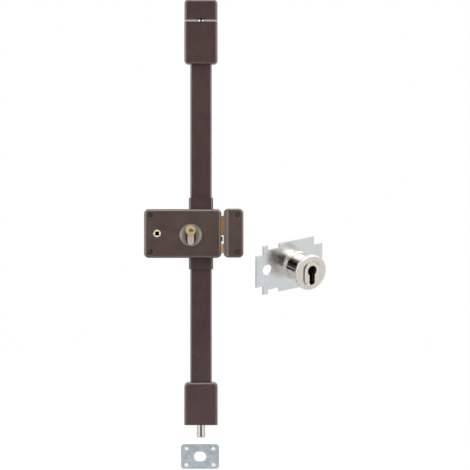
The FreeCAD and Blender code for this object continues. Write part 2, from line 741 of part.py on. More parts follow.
def rack_gaps(centre, pitch_line, direction, first, last, y):
    """The gaps between a rack's teeth, as one cutter.

    direction is where the rack lies from the pinion: 0 right, 90 above, 180 left. The rack runs
    at right angles to it; first and last are the ends of its toothed stretch, from the pinion's
    axis, along the way a point on the pinion's rim goes as its angle grows.
    """
    module = mm.module.number
    pitch = math.pi * module
    lean = math.tan(PRESSURE_ANGLE)
    half = (pitch / 2 + mm.tooth_play.number) / 2
    inner = tip_rise.number + module / 2
    outer = root_drop.number
    step = pinion_angle_step()
    nearest = round((math.radians(direction) - pinion_turn()) / step) * step + pinion_turn()
    offset = (nearest - math.radians(direction)) * pinion_radius.number
    out = Vector(math.cos(math.radians(direction)), 0, math.sin(math.radians(direction)))
    along = Vector(-out.z, 0, out.x)
    cutters = []
    low = math.ceil((first - offset) / pitch)
    high = math.floor((last - offset) / pitch)
    for count in range(low, high + 1):
        middle = centre + out * pitch_line + along * (offset + count * pitch)
        corners = [
            middle - out * inner - along * (half + inner * lean),
            middle - out * inner + along * (half + inner * lean),
            middle + out * outer + along * (half - outer * lean),
            middle + out * outer - along * (half - outer * lean),
        ]
        cutters.append(prism(Part.Face(Part.makePolygon(corners + corners[:1])), y))
    return Part.makeCompound(cutters)


def prism(face, y):
    """Push a face of the XZ plane out between two depths."""
    low, high = float(y[0]), float(y[1])
    face.translate(Vector(0, low, 0))
    return face.extrude(Vector(0, high - low, 0))


def pinion_angle_step():
    return 2 * math.pi / mm.pinion_teeth.number


def wheel_turn():
    """The drive wheel's angle, with a gap of it on the line to the key axis."""
    return math.radians(mm.mesh_angle.number + 180) + math.pi / mm.wheel_teeth.number


def pinion_turn():
    """The pinion's angle, with a tooth of it in the left-hand rack."""
    return math.pi


def shaped(node, shape, base=(0.0, 0.0, 0.0), turn=TURNS["+Z"]):
    """A piece whose shape is worked out here, set in its place."""
    thing = doc.addObject("Part::Feature", node + "_shape")
    thing.Shape = shape
    thing.Placement = Placement(Vector(*[float(value) for value in base]), turn)
    return thing


def cam_gear():
    """The cam gear, which turns with the plug inside the cylinder's cam gap."""
    back = -mm.cam_back - mm.cam_side_gap
    front = -mm.cam_front + mm.cam_side_gap
    face = gear_face(int(round(float(mm.cam_teeth))), math.radians(float(mm.mesh_angle)))
    solid = prism(face, (front, back))
    bore = Part.makeCylinder(
        float(mm.plug_tail) / 2, float(back - front), Vector(0, float(front), 0), Vector(0, 1, 0)
    )
    return keep("cylinder_cam", shaped("cylinder_cam", solid.cut(bore), (key_x, 0, key_z)))


def drive_gear():
    """The wheel that the cam gear turns, in one piece with the pinion that drives the racks."""
    wheel = prism(gear_face(int(round(float(mm.wheel_teeth))), wheel_turn()), (wheel_front, wheel_back))
    pinion_face = gear_face(int(round(float(mm.pinion_teeth))), pinion_turn())
    pinion = prism(pinion_face, (arm_front, wheel_front))
    bore = Part.makeCylinder(
        float(mm.axle_wide / 2 + mm.run_gap), float(wheel_back - arm_front) + 2,
        Vector(0, float(arm_front) - 1, 0), Vector(0, 1, 0),
    )
    windows = []
    window_count = int(round(float(mm.wheel_windows)))
    middle_radius = float(pinion_radius + tip_rise + mm.wheel_teeth * mm.module / 2) / 2
    for window in range(window_count):
        angle = 2 * math.pi * (window + 0.5) / window_count
        centre = Vector(
            middle_radius * math.cos(angle), float(wheel_front) - 1, middle_radius * math.sin(angle)
        )
        windows.append(
            Part.makeCylinder(
                float(mm.window_wide) / 2, float(mm.wheel_thick) + 2, centre, Vector(0, 1, 0)
            )
        )
    solid = wheel.fuse(pinion).cut(Part.makeCompound([bore] + windows)).removeSplitter()
    return keep("drive_gear", shaped("drive_gear", solid, (wheel_x, 0, wheel_z)))


def gear_axle():
    """The axle riveted in the back plate, with a shoulder behind the drive wheel."""
    shoulder_front = wheel_back + mm.end_gap
    end = arm_front - mm.end_gap - mm.clip_thick * 2
    shaft = bar("axle_shaft", "-Y", (wheel_x, 0, wheel_z), -end, mm.axle_wide)
    shoulder = bar(
        "axle_shoulder", "-Y", (wheel_x, plate_front, wheel_z), plate_front - shoulder_front,
        mm.axle_collar,
    )
    return keep("gear_axle", fuse("axle", shaft, shoulder))


def axle_clip():
    """The ring that keeps the drive wheel on its axle."""
    back = arm_front - mm.end_gap
    ring = bar("clip_ring", "-Y", (wheel_x, back, wheel_z), mm.clip_thick, mm.axle_collar)
    hole = bar("clip_hole", "-Y", (wheel_x, back + 1, wheel_z), mm.clip_thick + 2, mm.axle_wide)
    return keep("axle_clip", cut("clip", ring, hole))


def follower():
    """The brass follower: turned hub, lever and square hole."""
    body = body_named("follower")
    half = sketch_in(body, "follower_section", "XY_Plane")
    hub, middle = mm.follower_hub / 2, mm.follower_body / 2
    front, back = inner_front + mm.follower_end, plate_front - mm.follower_end
    outline(half, [
        (0, 0), (hub, 0), (hub, back), (middle, back), (middle, front), (hub, front),
        (hub, case_front - mm.follower_end), (0, case_front - mm.follower_end),
    ])
    turned = body.newObject("PartDesign::Revolution", "follower_turned")
    turned.Profile = half
    turned.ReferenceAxis = (half, ["V_Axis"])
    turned.Angle = 360
    doc.recompute()
    lever = sketch_in(body, "follower_lever", "XZ_Plane", -bolt_back)
    rectangle(lever, (-mm.lever_wide / 2, mm.lever_wide / 2), (-mm.lever_long, -mm.follower_square))
    pad(body, lever, mm.arm_thick)
    end = sketch_in(body, "follower_lever_end", "XZ_Plane", -bolt_back)
    circle(end, 0, -mm.lever_long, mm.lever_wide)
    pad(body, end, mm.arm_thick)
    square = sketch_in(body, "follower_square", "XZ_Plane")
    side = mm.follower_square / 2
    rectangle(square, (-side, side), (-side, side))
    pocket(body, square, along_normal=True)
    move_to(body, follower_x, 0, 0)
    return body


def latch_bolt():
    """The latch: a brass block, sloped behind so that the keep pushes it in."""
    body = body_named("latch_bolt")
    section = sketch_in(body, "latch_section", "XY_Plane", latch_foot)
    outline(section, [
        (latch_heel, bolt_front), (latch_tip, bolt_front), (latch_tip, bolt_front + mm.latch_nose),
        (latch_tip - mm.latch_bevel, bolt_back), (latch_heel, bolt_back),
    ])
    pad(body, section, mm.latch_tall)
    slot = sketch_in(body, "latch_slot", "XZ_Plane", -bolt_back)
    rectangle(slot, (latch_heel - 1, latch_heel + mm.arm_lap), (tail_foot, tail_top))
    pocket(body, slot, mm.arm_thick, along_normal=True)
    hole = sketch_in(body, "latch_rivet_hole", "XZ_Plane", -bolt_back)
    circle(hole, latch_heel + mm.arm_lap / 2, (tail_foot + tail_top) / 2, mm.rivet_wide)
    pocket(body, hole, along_normal=True)
    return body


def latch_tail():
    """The latch's steel arm, which runs under the cylinder to a fork round the lever."""
    body = body_named("latch_tail")
    fork_left = follower_x - fork_wide / 2 - mm.fork_wall
    fork_right = follower_x + fork_wide / 2 + mm.fork_wall
    heel = mm.case_wall + mm.lever_wide
    fork_top = fork_foot + mm.lever_wide + mm.fork_gap
    fork_base = fork_foot - mm.fork_wall
    side = sketch_in(body, "tail_side", "XZ_Plane", -bolt_back)
    outline(side, [
        (fork_left, fork_base), (fork_right, fork_base), (fork_right + heel, tail_foot),
        (latch_heel + mm.arm_lap, tail_foot), (latch_heel + mm.arm_lap, tail_top),
        (fork_right + heel, tail_top), (fork_right, fork_top),
        (follower_x + fork_wide / 2, fork_top), (follower_x + fork_wide / 2, fork_foot),
        (follower_x - fork_wide / 2, fork_foot), (follower_x - fork_wide / 2, fork_top),
        (fork_left, fork_top),
    ])
    pad(body, side, mm.arm_thick)
    hole = sketch_in(body, "tail_rivet_hole", "XZ_Plane")
    circle(hole, latch_heel + mm.arm_lap / 2, (tail_foot + tail_top) / 2, mm.rivet_wide)
    pocket(body, hole, along_normal=True)
    return body


def latch_rivet():
    x, z = latch_heel + mm.arm_lap / 2, (tail_foot + tail_top) / 2
    return keep("latch_rivet", bar("rivet_of_latch", "-Y", (x, bolt_back, z), mm.bolt_thick, mm.rivet_wide))


def latch_spring():
    """The coil spring between the case's rib and the latch, its wire drawn with flat sides."""
    wire = float(mm.spring_wire) / 2
    radius = float(mm.spring_wide) / 2 - wire
    length = float(mm.spring_long - mm.spring_wire - mm.seat_gap)
    helix = Part.makeHelix(length / float(mm.spring_turns), length, radius)
    angles = [2 * math.pi * side / WIRE_SIDES for side in range(WIRE_SIDES)]
    corners = [Vector(radius + wire * math.cos(a), 0, wire * math.sin(a)) for a in angles]
    section = Part.makePolygon(corners + corners[:1])
    coil = Part.Wire(helix.Edges).makePipeShell([section], True, True)
    place = (rib_x + (mm.spring_long - length) / 2, spring_y, spring_z)
    return keep("latch_spring", shaped("latch_spring", coil, place, TURNS["+X"]))


def deadbolt():
    """The deadbolt's brass block, cut away for the end of its rack."""
    body = body_named("deadbolt")
    side = sketch_in(body, "deadbolt_side", "XZ_Plane", -bolt_back)
    rectangle(side, (deadbolt_heel, deadbolt_tip), (deadbolt_foot, mm.deadbolt_top))
    solid = pad(body, side, mm.bolt_thick)
    tip = float(deadbolt_tip)
    round_edges(body, solid, "deadbolt_tip", mm.deadbolt_edge, lambda e: e.BoundBox.XMin > tip - 1e-3)
    slot = sketch_in(body, "deadbolt_slot", "XZ_Plane", -bolt_back)
    rectangle(
        slot, (deadbolt_heel - 1, deadbolt_heel + mm.arm_lap),
        (mm.deadbolt_top - mm.rack_tall, mm.deadbolt_top + 1),
    )
    pocket(body, slot, mm.arm_thick, along_normal=True)
    hole = sketch_in(body, "deadbolt_rivet_hole", "XZ_Plane", -bolt_back)
    circle(hole, deadbolt_heel + mm.arm_lap / 2, mm.deadbolt_top - mm.rack_tall / 2, mm.rivet_wide)
    pocket(body, hole, along_normal=True)
    return body


def deadbolt_rack():
    """The deadbolt's steel rack, over the pinion and toothed on its lower edge."""
    foot = wheel_z + pinion_radius - tip_rise
    left = wheel_x - mm.rack_run
    solid = block(
        "deadbolt_rack_strip", (left, deadbolt_heel + mm.arm_lap), (arm_front, bolt_back),
        (foot, mm.deadbolt_top),
    )
    step = block(
        "deadbolt_rack_step", (deadbolt_heel - mm.slide_gap, deadbolt_heel + mm.arm_lap + 1),
        (arm_front - 1, bolt_back + 1), (foot - 1, mm.deadbolt_top - mm.rack_tall),
    )
    hole = bar(
        "deadbolt_rack_hole", "-Y",
        (deadbolt_heel + mm.arm_lap / 2, bolt_back, mm.deadbolt_top - mm.rack_tall / 2),
        mm.arm_thick, mm.rivet_wide,
    )
    centre = Vector(float(wheel_x), 0, float(wheel_z))
    gaps = rack_gaps(
        centre, pinion_radius.number, 90, rack_start, float(mm.rack_run), (arm_front - 1, bolt_back + 1)
    )
    teeth = shaped("deadbolt_rack_gaps", gaps)
    return keep("deadbolt_rack", cut("deadbolt_rack_solid", solid, step, hole, teeth))


def deadbolt_rivet():
    x, z = deadbolt_heel + mm.arm_lap / 2, mm.deadbolt_top - mm.rack_tall / 2
    return keep(
        "deadbolt_rivet", bar("rivet_of_deadbolt", "-Y", (x, bolt_back, z), mm.bolt_thick, mm.rivet_wide)
    )


# The rods. The upper one has its rack left of the pinion and the lower one right of it, so one
# turn of the drive wheel draws both in.

upper_pin_end = mm.upper_end + mm.upper_throw
lower_pin_end = -mm.lower_end - mm.lower_throw
upper_rod_end = upper_pin_end - mm.pin_long + mm.slot_deep - mm.slot_spare
lower_rod_end = lower_pin_end + mm.pin_long - mm.slot_deep + mm.slot_spare
rod_half = mm.rod_wide / 2
tooth_reach = pinion_radius - tip_rise
rack_left = wheel_x - pinion_radius - root_drop - mm.rack_back
rack_right = wheel_x + pinion_radius + root_drop + mm.rack_back
pinion_clear = pinion_radius + tip_rise + mm.module


def rod_rivet_hole(name, z):
    return bar(name, "-Y", (0, rod_back + 1, z), mm.rod_thick + 2, mm.cross_pin)


def upper_rod():
    """The upper rod: a flat bar whose foot is a rack on the pinion's left."""
    shoulder = wheel_z + pinion_clear + key_throw
    strip = block("upper_rod_bar", (-rod_half, rod_half), (rod_front, rod_back), (shoulder, upper_rod_end))
    leg = block(
        "upper_rod_leg", (rack_left, wheel_x - tooth_reach), (rod_front, rod_back),
        (wheel_z - mm.rack_run, shoulder + 1),
    )
    centre = Vector(float(wheel_x), 0, float(wheel_z))
    gaps = rack_gaps(
        centre, pinion_radius.number, 180, rack_start, float(mm.rack_run), (rod_front - 1, rod_back + 1)
    )
    teeth = shaped("upper_rod_gaps", gaps)
    hole = rod_rivet_hole("upper_rod_hole", upper_rod_end - mm.slot_deep / 2)
    return keep("upper_rod", cut("upper_rod_solid", fuse("upper_rod_blank", strip, leg), teeth, hole))


def lower_rod():
    """The lower rod: a flat bar that steps aside, past the upper rod's foot, to a rack on the
    pinion's right."""
    shoulder = wheel_z - pinion_clear - key_throw
    bar_top = wheel_z - mm.rack_run - key_throw * 2 - mm.module
    strip = block(
        "lower_rod_bar", (-rod_half, rod_half), (rod_front, rod_back), (lower_rod_end, bar_top)
    )
    knee = block(
        "lower_rod_knee", (wheel_x - tooth_reach + mm.module, rack_right), (rod_front, rod_back),
        (bar_top - rod_half, shoulder),
    )
    leg = block(
        "lower_rod_leg", (wheel_x + tooth_reach, rack_right), (rod_front, rod_back),
        (shoulder - 1, wheel_z + mm.rack_run),
    )
    centre = Vector(float(wheel_x), 0, float(wheel_z))
    gaps = rack_gaps(
        centre, pinion_radius.number, 0, rack_start, float(mm.rack_run), (rod_front - 1, rod_back + 1)
    )
    teeth = shaped("lower_rod_gaps", gaps)
    hole = rod_rivet_hole("lower_rod_hole", lower_rod_end + mm.slot_deep / 2)
    blank = fuse("lower_rod_blank", strip, knee, leg)
    return keep("lower_rod", cut("lower_rod_solid", blank, teeth, hole))


def shoot_pin(side, tip_z, way):
    """A nickelled pin: chamfered tip outside, slot and rivet hole for its rod inside."""
    name = side + "_pin"
    axis_y = -mm.rod_mid
    heel = tip_z - way * mm.pin_long
    shaft_tip = tip_z - way * mm.pin_tip
    low, high = (heel, shaft_tip) if way > 0 else (shaft_tip, heel)
    shaft = bar(name + "_shaft", "+Z", (0, axis_y, low), high - low, mm.pin_wide)
    small = mm.pin_wide - mm.pin_tip * 2
    if way > 0:
        tip = taper(name + "_tip", "+Z", (0, axis_y, high), mm.pin_tip, mm.pin_wide, small)
        slot_z = (heel - 1, heel + mm.slot_deep)
    else:
        tip = taper(name + "_tip", "+Z", (0, axis_y, tip_z), mm.pin_tip, small, mm.pin_wide)
        slot_z = (heel - mm.slot_deep, heel + 1)
    slot = block(
        name + "_slot", (-mm.pin_wide, mm.pin_wide),
        (rod_front - mm.seat_gap, rod_back + mm.seat_gap), slot_z,
    )
    middle = heel + way * (mm.slot_deep / 2 - mm.slot_spare)
    hole = bar(name + "_hole", "-Y", (0, 0, middle), mm.rod_mid * 2, mm.cross_pin)
    keep(name, cut(name + "_solid", fuse(name + "_blank", shaft, tip), slot, hole))
    rivet_start = axis_y + mm.pin_wide / 2 - mm.rivet_in
    rivet = bar(
        name + "_cross", "-Y", (0, rivet_start, middle), mm.pin_wide - mm.rivet_in * 2, mm.cross_pin
    )
    return keep(name + "_rivet", rivet)


# The covers over the rods, drawn once for each side of the case.


def channel_section(sketch, half, deep, wall):
    """A U section, open to the door."""
    outline(sketch, [
        (-half, 0), (-half, -deep), (half, -deep), (half, 0),
        (half - wall, 0), (half - wall, wall - deep), (wall - half, wall - deep), (wall - half, 0),
    ])


def channel(node, low, high, wide, deep, wall, radius):
    """A folded cover that runs along Z."""
    body = body_named(node)
    section = sketch_in(body, node + "_section", "XY_Plane", low)
    channel_section(section, wide / 2, deep, wall)
    solid = pad(body, section, high - low)
    edge_y, inner_y = -float(deep), float(wall - deep)
    outer = round_edges(
        body, solid, node + "_outer", radius,
        lambda e: runs_along(e, "Z") and abs(e.BoundBox.YMin - edge_y) < 1e-3,
    )
    round_edges(
        body, outer, node + "_inner", radius - wall,
        lambda e: runs_along(e, "Z") and abs(e.BoundBox.YMin - inner_y) < 1e-3
        and abs(e.BoundBox.XMin) < float(wide / 2 - wall) + 1e-3,
    )
    return body


def collar(side, way):
    """The collar that joins a rod cover to the case."""
    wide = mm.cover_wide + (mm.seat_gap * 2 + mm.collar_wall) * 2
    deep = mm.cover_deep + mm.seat_gap * 2 + mm.collar_wall
    low, high = (case_top, case_top + mm.collar_tall)
    if way < 0:
        low, high = (case_foot - mm.collar_tall, case_foot)
    return channel(side + "_collar", low, high, wide, deep, mm.collar_wall, mm.collar_round)


def rod_cover(side, way, end):
    """The long cover of a rod, from the case into its guide box."""
    reach = end - way * (mm.box_tall - mm.cover_lap)
    low, high = (case_top, reach) if way > 0 else (reach, case_foot)
    return channel(
        side + "_rod_cover", low, high, mm.cover_wide, mm.cover_deep, mm.cover_wall, mm.cover_round
    )


def guide_box(side, way, end):
    """The box at a rod's end: rounded at the rod's side, cut square where the pin comes out."""
    body = body_named(side + "_guide_box")
    root = end - way * mm.box_tall
    low, high = (root, end) if way > 0 else (end, root)
    half = mm.box_wide / 2
    face = sketch_in(body, side + "_box_face", "XZ_Plane")
    rectangle(face, (-half, half), (low, high))
    solid = pad(body, face, mm.box_deep)
    root_z, end_z = float(root), float(end)
    solid = round_edges(
        body, solid, side + "_box_corners", mm.box_corner,
        lambda e: runs_along(e, "Y") and abs(e.BoundBox.ZMin - root_z) < 1e-3,
    )
    solid = round_edges(
        body, solid, side + "_box_front", mm.box_round,
        lambda e: at_front(e, mm.box_deep) and not abs(e.CenterOfMass.z - end_z) < 1e-3,
    )
    shell(body, solid, side + "_box_shell", mm.box_wall, at_door)
    ports = sketch_in(body, side + "_box_ports", "XY_Plane", end - way * mm.box_tall / 2)
    circle(ports, 0, -mm.rod_mid, mm.pin_wide + mm.slide_gap * 2)
    pocket(body, ports, along_normal=way > 0)
    throat = sketch_in(body, side + "_box_throat", "XY_Plane", end - way * mm.box_tall / 2)
    gap = mm.cover_wide / 2 + mm.seat_gap
    rectangle(throat, (-gap, gap), (-mm.cover_deep - mm.seat_gap, 1.0))
    pocket(body, throat, along_normal=way < 0)
    return body


def pin_bearing(side, way, end):
    """The bored block in a guide box that the pin slides in, screwed to the door."""
    seat = end - way * mm.box_wall
    foot = seat - way * mm.bearing_tall
    low, high = (foot, seat) if way > 0 else (seat, foot)
    half = mm.bearing_wide / 2
    name = side + "_pin_bearing"
    solid = block(name + "_block", (-half, half), (-mm.bearing_deep, 0.0), (low, high))
    bore = bar(
        name + "_bore", "+Z", (0, -mm.rod_mid, low - 1), mm.bearing_tall + 2,
        mm.pin_wide + mm.run_gap * 2,
    )
    holes = [
        bar(
            f"{name}_hole_{count}", "-Y", (x, 1, (low + high) / 2), mm.bearing_deep + 2, mm.fixing_hole
        )
        for count, x in enumerate((-mm.bearing_pitch / 2, mm.bearing_pitch / 2), start=1)
    ]
    return keep(name, cut(name + "_solid", solid, bore, *holes))


def top_keep():
    """The keep over the upper pin: a shell with the pin's hole and an arched notch in front."""
    body = body_named("top_keep")
    low = mm.upper_end + mm.top_keep_gap
    high = low + mm.top_keep_tall
    half = mm.top_keep_wide / 2
    face = sketch_in(body, "top_keep_face", "XZ_Plane")
    rectangle(face, (-half, half), (low, high))
    solid = pad(body, face, mm.box_deep)
    top_z, foot_z = float(high), float(low)
    solid = round_edges(
        body, solid, "top_keep_corners", mm.box_corner,
        lambda e: runs_along(e, "Y") and abs(e.BoundBox.ZMin - top_z) < 1e-3,
    )
    solid = round_edges(
        body, solid, "top_keep_front", mm.box_round,
        lambda e: at_front(e, mm.box_deep) and not abs(e.CenterOfMass.z - foot_z) < 1e-3,
    )
    shell(body, solid, "top_keep_shell", mm.box_wall, at_door)
    hole = sketch_in(body, "top_keep_hole", "XY_Plane", (low + high) / 2)
    circle(hole, 0, -mm.rod_mid, mm.pin_wide + mm.keep_hole_gap * 2)
    pocket(body, hole)
    notch = sketch_in(body, "top_keep_notch", "XZ_Plane", mm.box_deep - mm.box_wall * 2)
    circle(notch, 0, low + mm.notch_rise - mm.notch_radius, mm.notch_radius * 2)
    pocket(body, notch, along_normal=True)
    return body


def side_keep():
    """The keep on the frame: sloped on the case's side, with a window for each bolt."""
    body = body_named("side_keep")
    left = case_right + mm.side_keep_gap
    right = left + mm.side_keep_wide
    foot = case_foot + mm.side_keep_up
    top = case_top + mm.side_keep_up
    front = -mm.side_keep_deep
    face = sketch_in(body, "side_keep_face", "XZ_Plane")
    rectangle(face, (left, right), (foot, top))
    solid = pad(body, face, mm.side_keep_deep)
    solid = round_edges(
        body, solid, "side_keep_corners", mm.case_corner, lambda e: runs_along(e, "Y")
    )
    round_edges(
        body, solid, "side_keep_front", mm.side_keep_round, lambda e: at_front(e, mm.side_keep_deep)
    )
    slope = sketch_in(body, "side_keep_slope", "XY_Plane")
    outline(slope, [
        (left, front + mm.slope_deep), (left + mm.slope_run, front), (left + mm.slope_run, front - 1),
        (left - 1, front - 1), (left - 1, front + mm.slope_deep),
    ])
    pocket(body, slope, both_ways=True)
    wall = mm.side_keep_wall
    hollow = sketch_in(body, "side_keep_hollow", "XY_Plane", foot + wall)
    outline(hollow, [
        (left + wall, 1.0), (left + wall, front + mm.slope_deep + wall),
        (left + mm.slope_run + wall / 2, front + wall), (right - wall, front + wall), (right - wall, 1.0),
    ])
    solid = pocket(body, hollow, top - foot - wall * 2, along_normal=True)
    round_edges(
        body, solid, "side_keep_hollow_corners", mm.case_corner - wall,
        lambda e: runs_along(e, "Y") and e.BoundBox.YMax > -1e-3
        and min(abs(e.BoundBox.XMax - float(side)) for side in (left + wall, right - wall)) < 1e-3,
    )
    post_keep_x = right - mm.keep_post_in
    heights = (top - mm.post_down, foot + mm.post_down)
    posts = sketch_in(body, "side_keep_posts", "XZ_Plane")
    for z in heights:
        circle(posts, post_keep_x, z, mm.post_bore + mm.post_wall * 2)
    pad(body, posts, mm.side_keep_deep - mm.side_keep_wall / 2)
    recesses = sketch_in(body, "side_keep_recesses", "XZ_Plane", mm.plate_thick)
    for z in heights:
        circle(recesses, post_keep_x, z, mm.post_bore)
    pocket(body, recesses, along_normal=True)
    holes = sketch_in(body, "side_keep_holes", "XZ_Plane")
    for z in heights:
        circle(holes, post_keep_x, z, mm.fixing_hole)
    pocket(body, holes, along_normal=True)
    windows = sketch_in(body, "side_keep_windows", "YZ_Plane", left - 1)
    gap = mm.keep_window_gap
    reach = bolt_back + gap
    rectangle(windows, (bolt_front - gap, reach), (deadbolt_foot - gap, mm.deadbolt_top + gap))
    rectangle(windows, (bolt_front - gap, reach), (latch_foot - gap, mm.latch_top + gap))
    pocket(body, windows, mm.side_keep_wall + 2, along_normal=True)
    return body


def floor_plate():
    """The zinc plate let into the floor: an oval hole for the pin and four countersunk holes."""
    body = body_named("floor_plate")
    x, z = -mm.floor_left, -mm.floor_drop
    face = sketch_in(body, "floor_face", "XZ_Plane")
    rectangle(
        face, (x - mm.floor_wide / 2, x + mm.floor_wide / 2), (z - mm.floor_tall / 2, z + mm.floor_tall / 2)
    )
    solid = pad(body, face, mm.floor_thick)
    round_edges(body, solid, "floor_corners", mm.floor_corner, lambda e: runs_along(e, "Y"))
    run = (mm.floor_slot_wide - mm.floor_slot_tall) / 2
    for name, centre in (("left", x - run), ("right", x + run)):
        end = sketch_in(body, f"floor_slot_{name}", "XZ_Plane")
        circle(end, centre, z, mm.floor_slot_tall)
        pocket(body, end, along_normal=True)
    middle = sketch_in(body, "floor_slot", "XZ_Plane")
    rectangle(middle, (x - run, x + run), (z - mm.floor_slot_tall / 2, z + mm.floor_slot_tall / 2))
    pocket(body, middle, along_normal=True)
    holes = sketch_in(body, "floor_holes", "XZ_Plane", mm.floor_thick)
    for across in (-mm.floor_pitch_wide / 2, mm.floor_pitch_wide / 2):
        for up in (-mm.floor_pitch_tall / 2, mm.floor_pitch_tall / 2):
            circle(holes, x + across, z + up, mm.floor_hole)
    before = body.Shape.Volume
    drilled = body.newObject("PartDesign::Hole", "floor_countersinks")
    drilled.Profile = holes
    doc.recompute()
    drilled.ThreadType = 0
    drilled.DepthType = 1
    drilled.HoleCutType = 2
    drilled.HoleCutCountersinkAngle = 90
    bind(drilled, Diameter=mm.floor_hole, HoleCutDiameter=mm.floor_sink)
    doc.recompute()
    if body.Shape.Volume > before - 1:
        raise RuntimeError("the floor plate's holes cut nothing")
    return body


# The guard is drawn upright about its key axis, its plate's front at y = 0, then turned and tipped.

guard_place = Placement(
    Vector(float(mm.guard_x), -float(mm.guard_y), -float(mm.guard_z)),
    Rotation(Vector(1, 0, 0), float(mm.guard_pitch)).multiply(
        Rotation(Vector(0, 0, 1), float(mm.guard_yaw))
    ),
)


keyhole_foot = mm.cylinder_tall - mm.barrel_wide / 2 + mm.profile_gap
guard_barrel_wide = (keyhole_foot - mm.rose_drop + mm.guard_barrel_wall) * 2
insert_wide = mm.barrel_wide + (mm.profile_gap + mm.insert_side) * 2
insert_tall = (keyhole_foot - mm.insert_drop + mm.insert_foot) * 2
rose_wide = insert_tall + (mm.insert_groove + mm.insert_drop - mm.rose_drop + mm.rose_over) * 2


def in_guard(node, thing):
    keep(node, thing)
    thing.Placement = guard_place
    return thing


def guard_plate():
    """The zinc plate that the lock is screwed through: notched ends, a tab and a spindle hole."""
    body = doc.addObject("PartDesign::Body", "guard_plate_body")
    left, right = -mm.guard_left, mm.guard_right
    middle = -mm.guard_below
    end, neck, full = mm.guard_end_tall / 2, mm.guard_neck_tall / 2, mm.guard_tall / 2
    tab = left + mm.guard_tab_in
    tab_end = tab + mm.guard_tab_wide
    step = left + mm.guard_step_in
    shoulder = right - mm.guard_end_wide
    upper = [
        (left, end), (tab, end), (tab, full), (tab_end, full), (tab_end, neck), (step, neck),
        (step, full), (shoulder, full), (shoulder, end), (right, end),
    ]
    corners = [(x, middle + z) for x, z in upper] + [(x, middle - z) for x, z in reversed(upper)]
    face = sketch_in(body, "guard_plate_face", "XZ_Plane", -mm.guard_thick)
    outline(face, corners)
    pad(body, face, mm.guard_thick)
    holes = sketch_in(body, "guard_plate_holes", "XZ_Plane", -mm.guard_thick)
    circle(holes, left + mm.follower_in, middle, mm.spindle_wide)
    pocket(body, holes, along_normal=True)
    opening = sketch_in(body, "guard_plate_opening", "XZ_Plane", -mm.guard_thick)
    foot = mm.barrel_wide / 2 - mm.cylinder_tall
    reach = mm.leg_wide / 2 + mm.profile_gap
    rectangle(opening, (-reach, reach), (foot - mm.profile_gap, 0))
    pocket(body, opening, along_normal=True)
    barrel = sketch_in(body, "guard_plate_barrel", "XZ_Plane", -mm.guard_thick)
    circle(barrel, 0, 0, mm.barrel_wide + mm.profile_gap * 2)
    pocket(body, barrel, along_normal=True)
    return in_guard("guard_plate", body)


def guard_barrel():
    """The chromed barrel, with the cylinder's keyhole opening through it."""
    front = -mm.guard_barrel_long
    drop = -mm.rose_drop
    solid = bar("guard_barrel_bar", "-Y", (0, 0, drop), mm.guard_barrel_long, guard_barrel_wide)
    hole = cylinder_profile("guard_barrel_hole", as_size(0), as_size(0), front - 1, as_size(1), mm.profile_gap)
    return in_guard("guard_barrel", cut("guard_barrel_solid", solid, hole))


def guard_ring():
    """The ring that clamps the barrel to its plate."""
    drop = -mm.rose_drop
    wide = guard_barrel_wide + mm.guard_ring_over * 2
    ring = taper(
        "guard_ring_cone", "-Y", (0, 0, drop), mm.guard_ring_thick, wide, wide - mm.guard_ring_thick / 2
    )
    hole = bar(
        "guard_ring_hole", "-Y", (0, 1, drop), mm.guard_ring_thick + 2,
        guard_barrel_wide + mm.seat_gap * 2,
    )
    return in_guard("guard_ring", cut("guard_ring_solid", ring, hole))


def guard_rose():
    """The round rose: a rim turned round, and a recess for the insert."""
    body = doc.addObject("PartDesign::Body", "guard_rose_body")
    back = -mm.guard_barrel_long
    front = back - mm.rose_thick
    half = sketch_in(body, "rose_section", "XY_Plane", -mm.rose_drop)
    outline(half, [(0, back), (rose_wide / 2, back), (rose_wide / 2, front), (0, front)])
    turned = body.newObject("PartDesign::Revolution", "rose_turned")
    turned.Profile = half
    turned.ReferenceAxis = (half, ["V_Axis"])
    turned.Angle = 360
    doc.recompute()
    front_y = float(front)
    rim = round_edges(
        body, turned, "rose_rim", mm.rose_rim, lambda e: e.BoundBox.YMax < front_y + 1e-3 and not runs_along(e, "X")
    )
    grow = mm.insert_groove
    wide = insert_wide + grow * 2
    rise = (insert_tall - insert_wide) / 2
    middle = -mm.insert_drop
    recess = sketch_in(body, "rose_recess_middle", "XZ_Plane", -back + mm.rose_thick - mm.insert_seat)
    rectangle(recess, (-wide / 2, wide / 2), (middle - rise, middle + rise))
    pocket(body, recess, along_normal=True)
    for name, z in (("top", middle + rise), ("foot", middle - rise)):
        end = sketch_in(body, f"rose_recess_{name}", "XZ_Plane", -back + mm.rose_thick - mm.insert_seat)
        circle(end, 0, z, wide)
        pocket(body, end, along_normal=True)
    leg = sketch_in(body, "rose_leg", "XZ_Plane")
    reach = mm.leg_wide / 2 + mm.profile_gap
    foot = mm.barrel_wide / 2 - mm.cylinder_tall
    rectangle(leg, (-reach, reach), (foot - mm.profile_gap, 0))
    pocket(body, leg, along_normal=True)
    hole = sketch_in(body, "rose_hole", "XZ_Plane")
    circle(hole, 0, 0, mm.barrel_wide + mm.profile_gap * 2)
    pocket(body, hole, along_normal=True)
    return in_guard("guard_rose", body)


def guard_insert():
    """The oval plate set in the rose, which stands proud round the keyhole opening."""
    seat = -mm.guard_barrel_long - mm.rose_thick + mm.insert_seat
    front = seat - mm.insert_seat - mm.insert_proud
    solid = stadium(
        "insert_solid", as_size(0), -mm.insert_drop, insert_wide, insert_tall, front, seat
    )
    hole = cylinder_profile(
        "insert_hole", as_size(0), as_size(0), front - 1, seat + 1, mm.profile_gap
    )
    return in_guard("guard_insert", cut("insert", solid, hole))


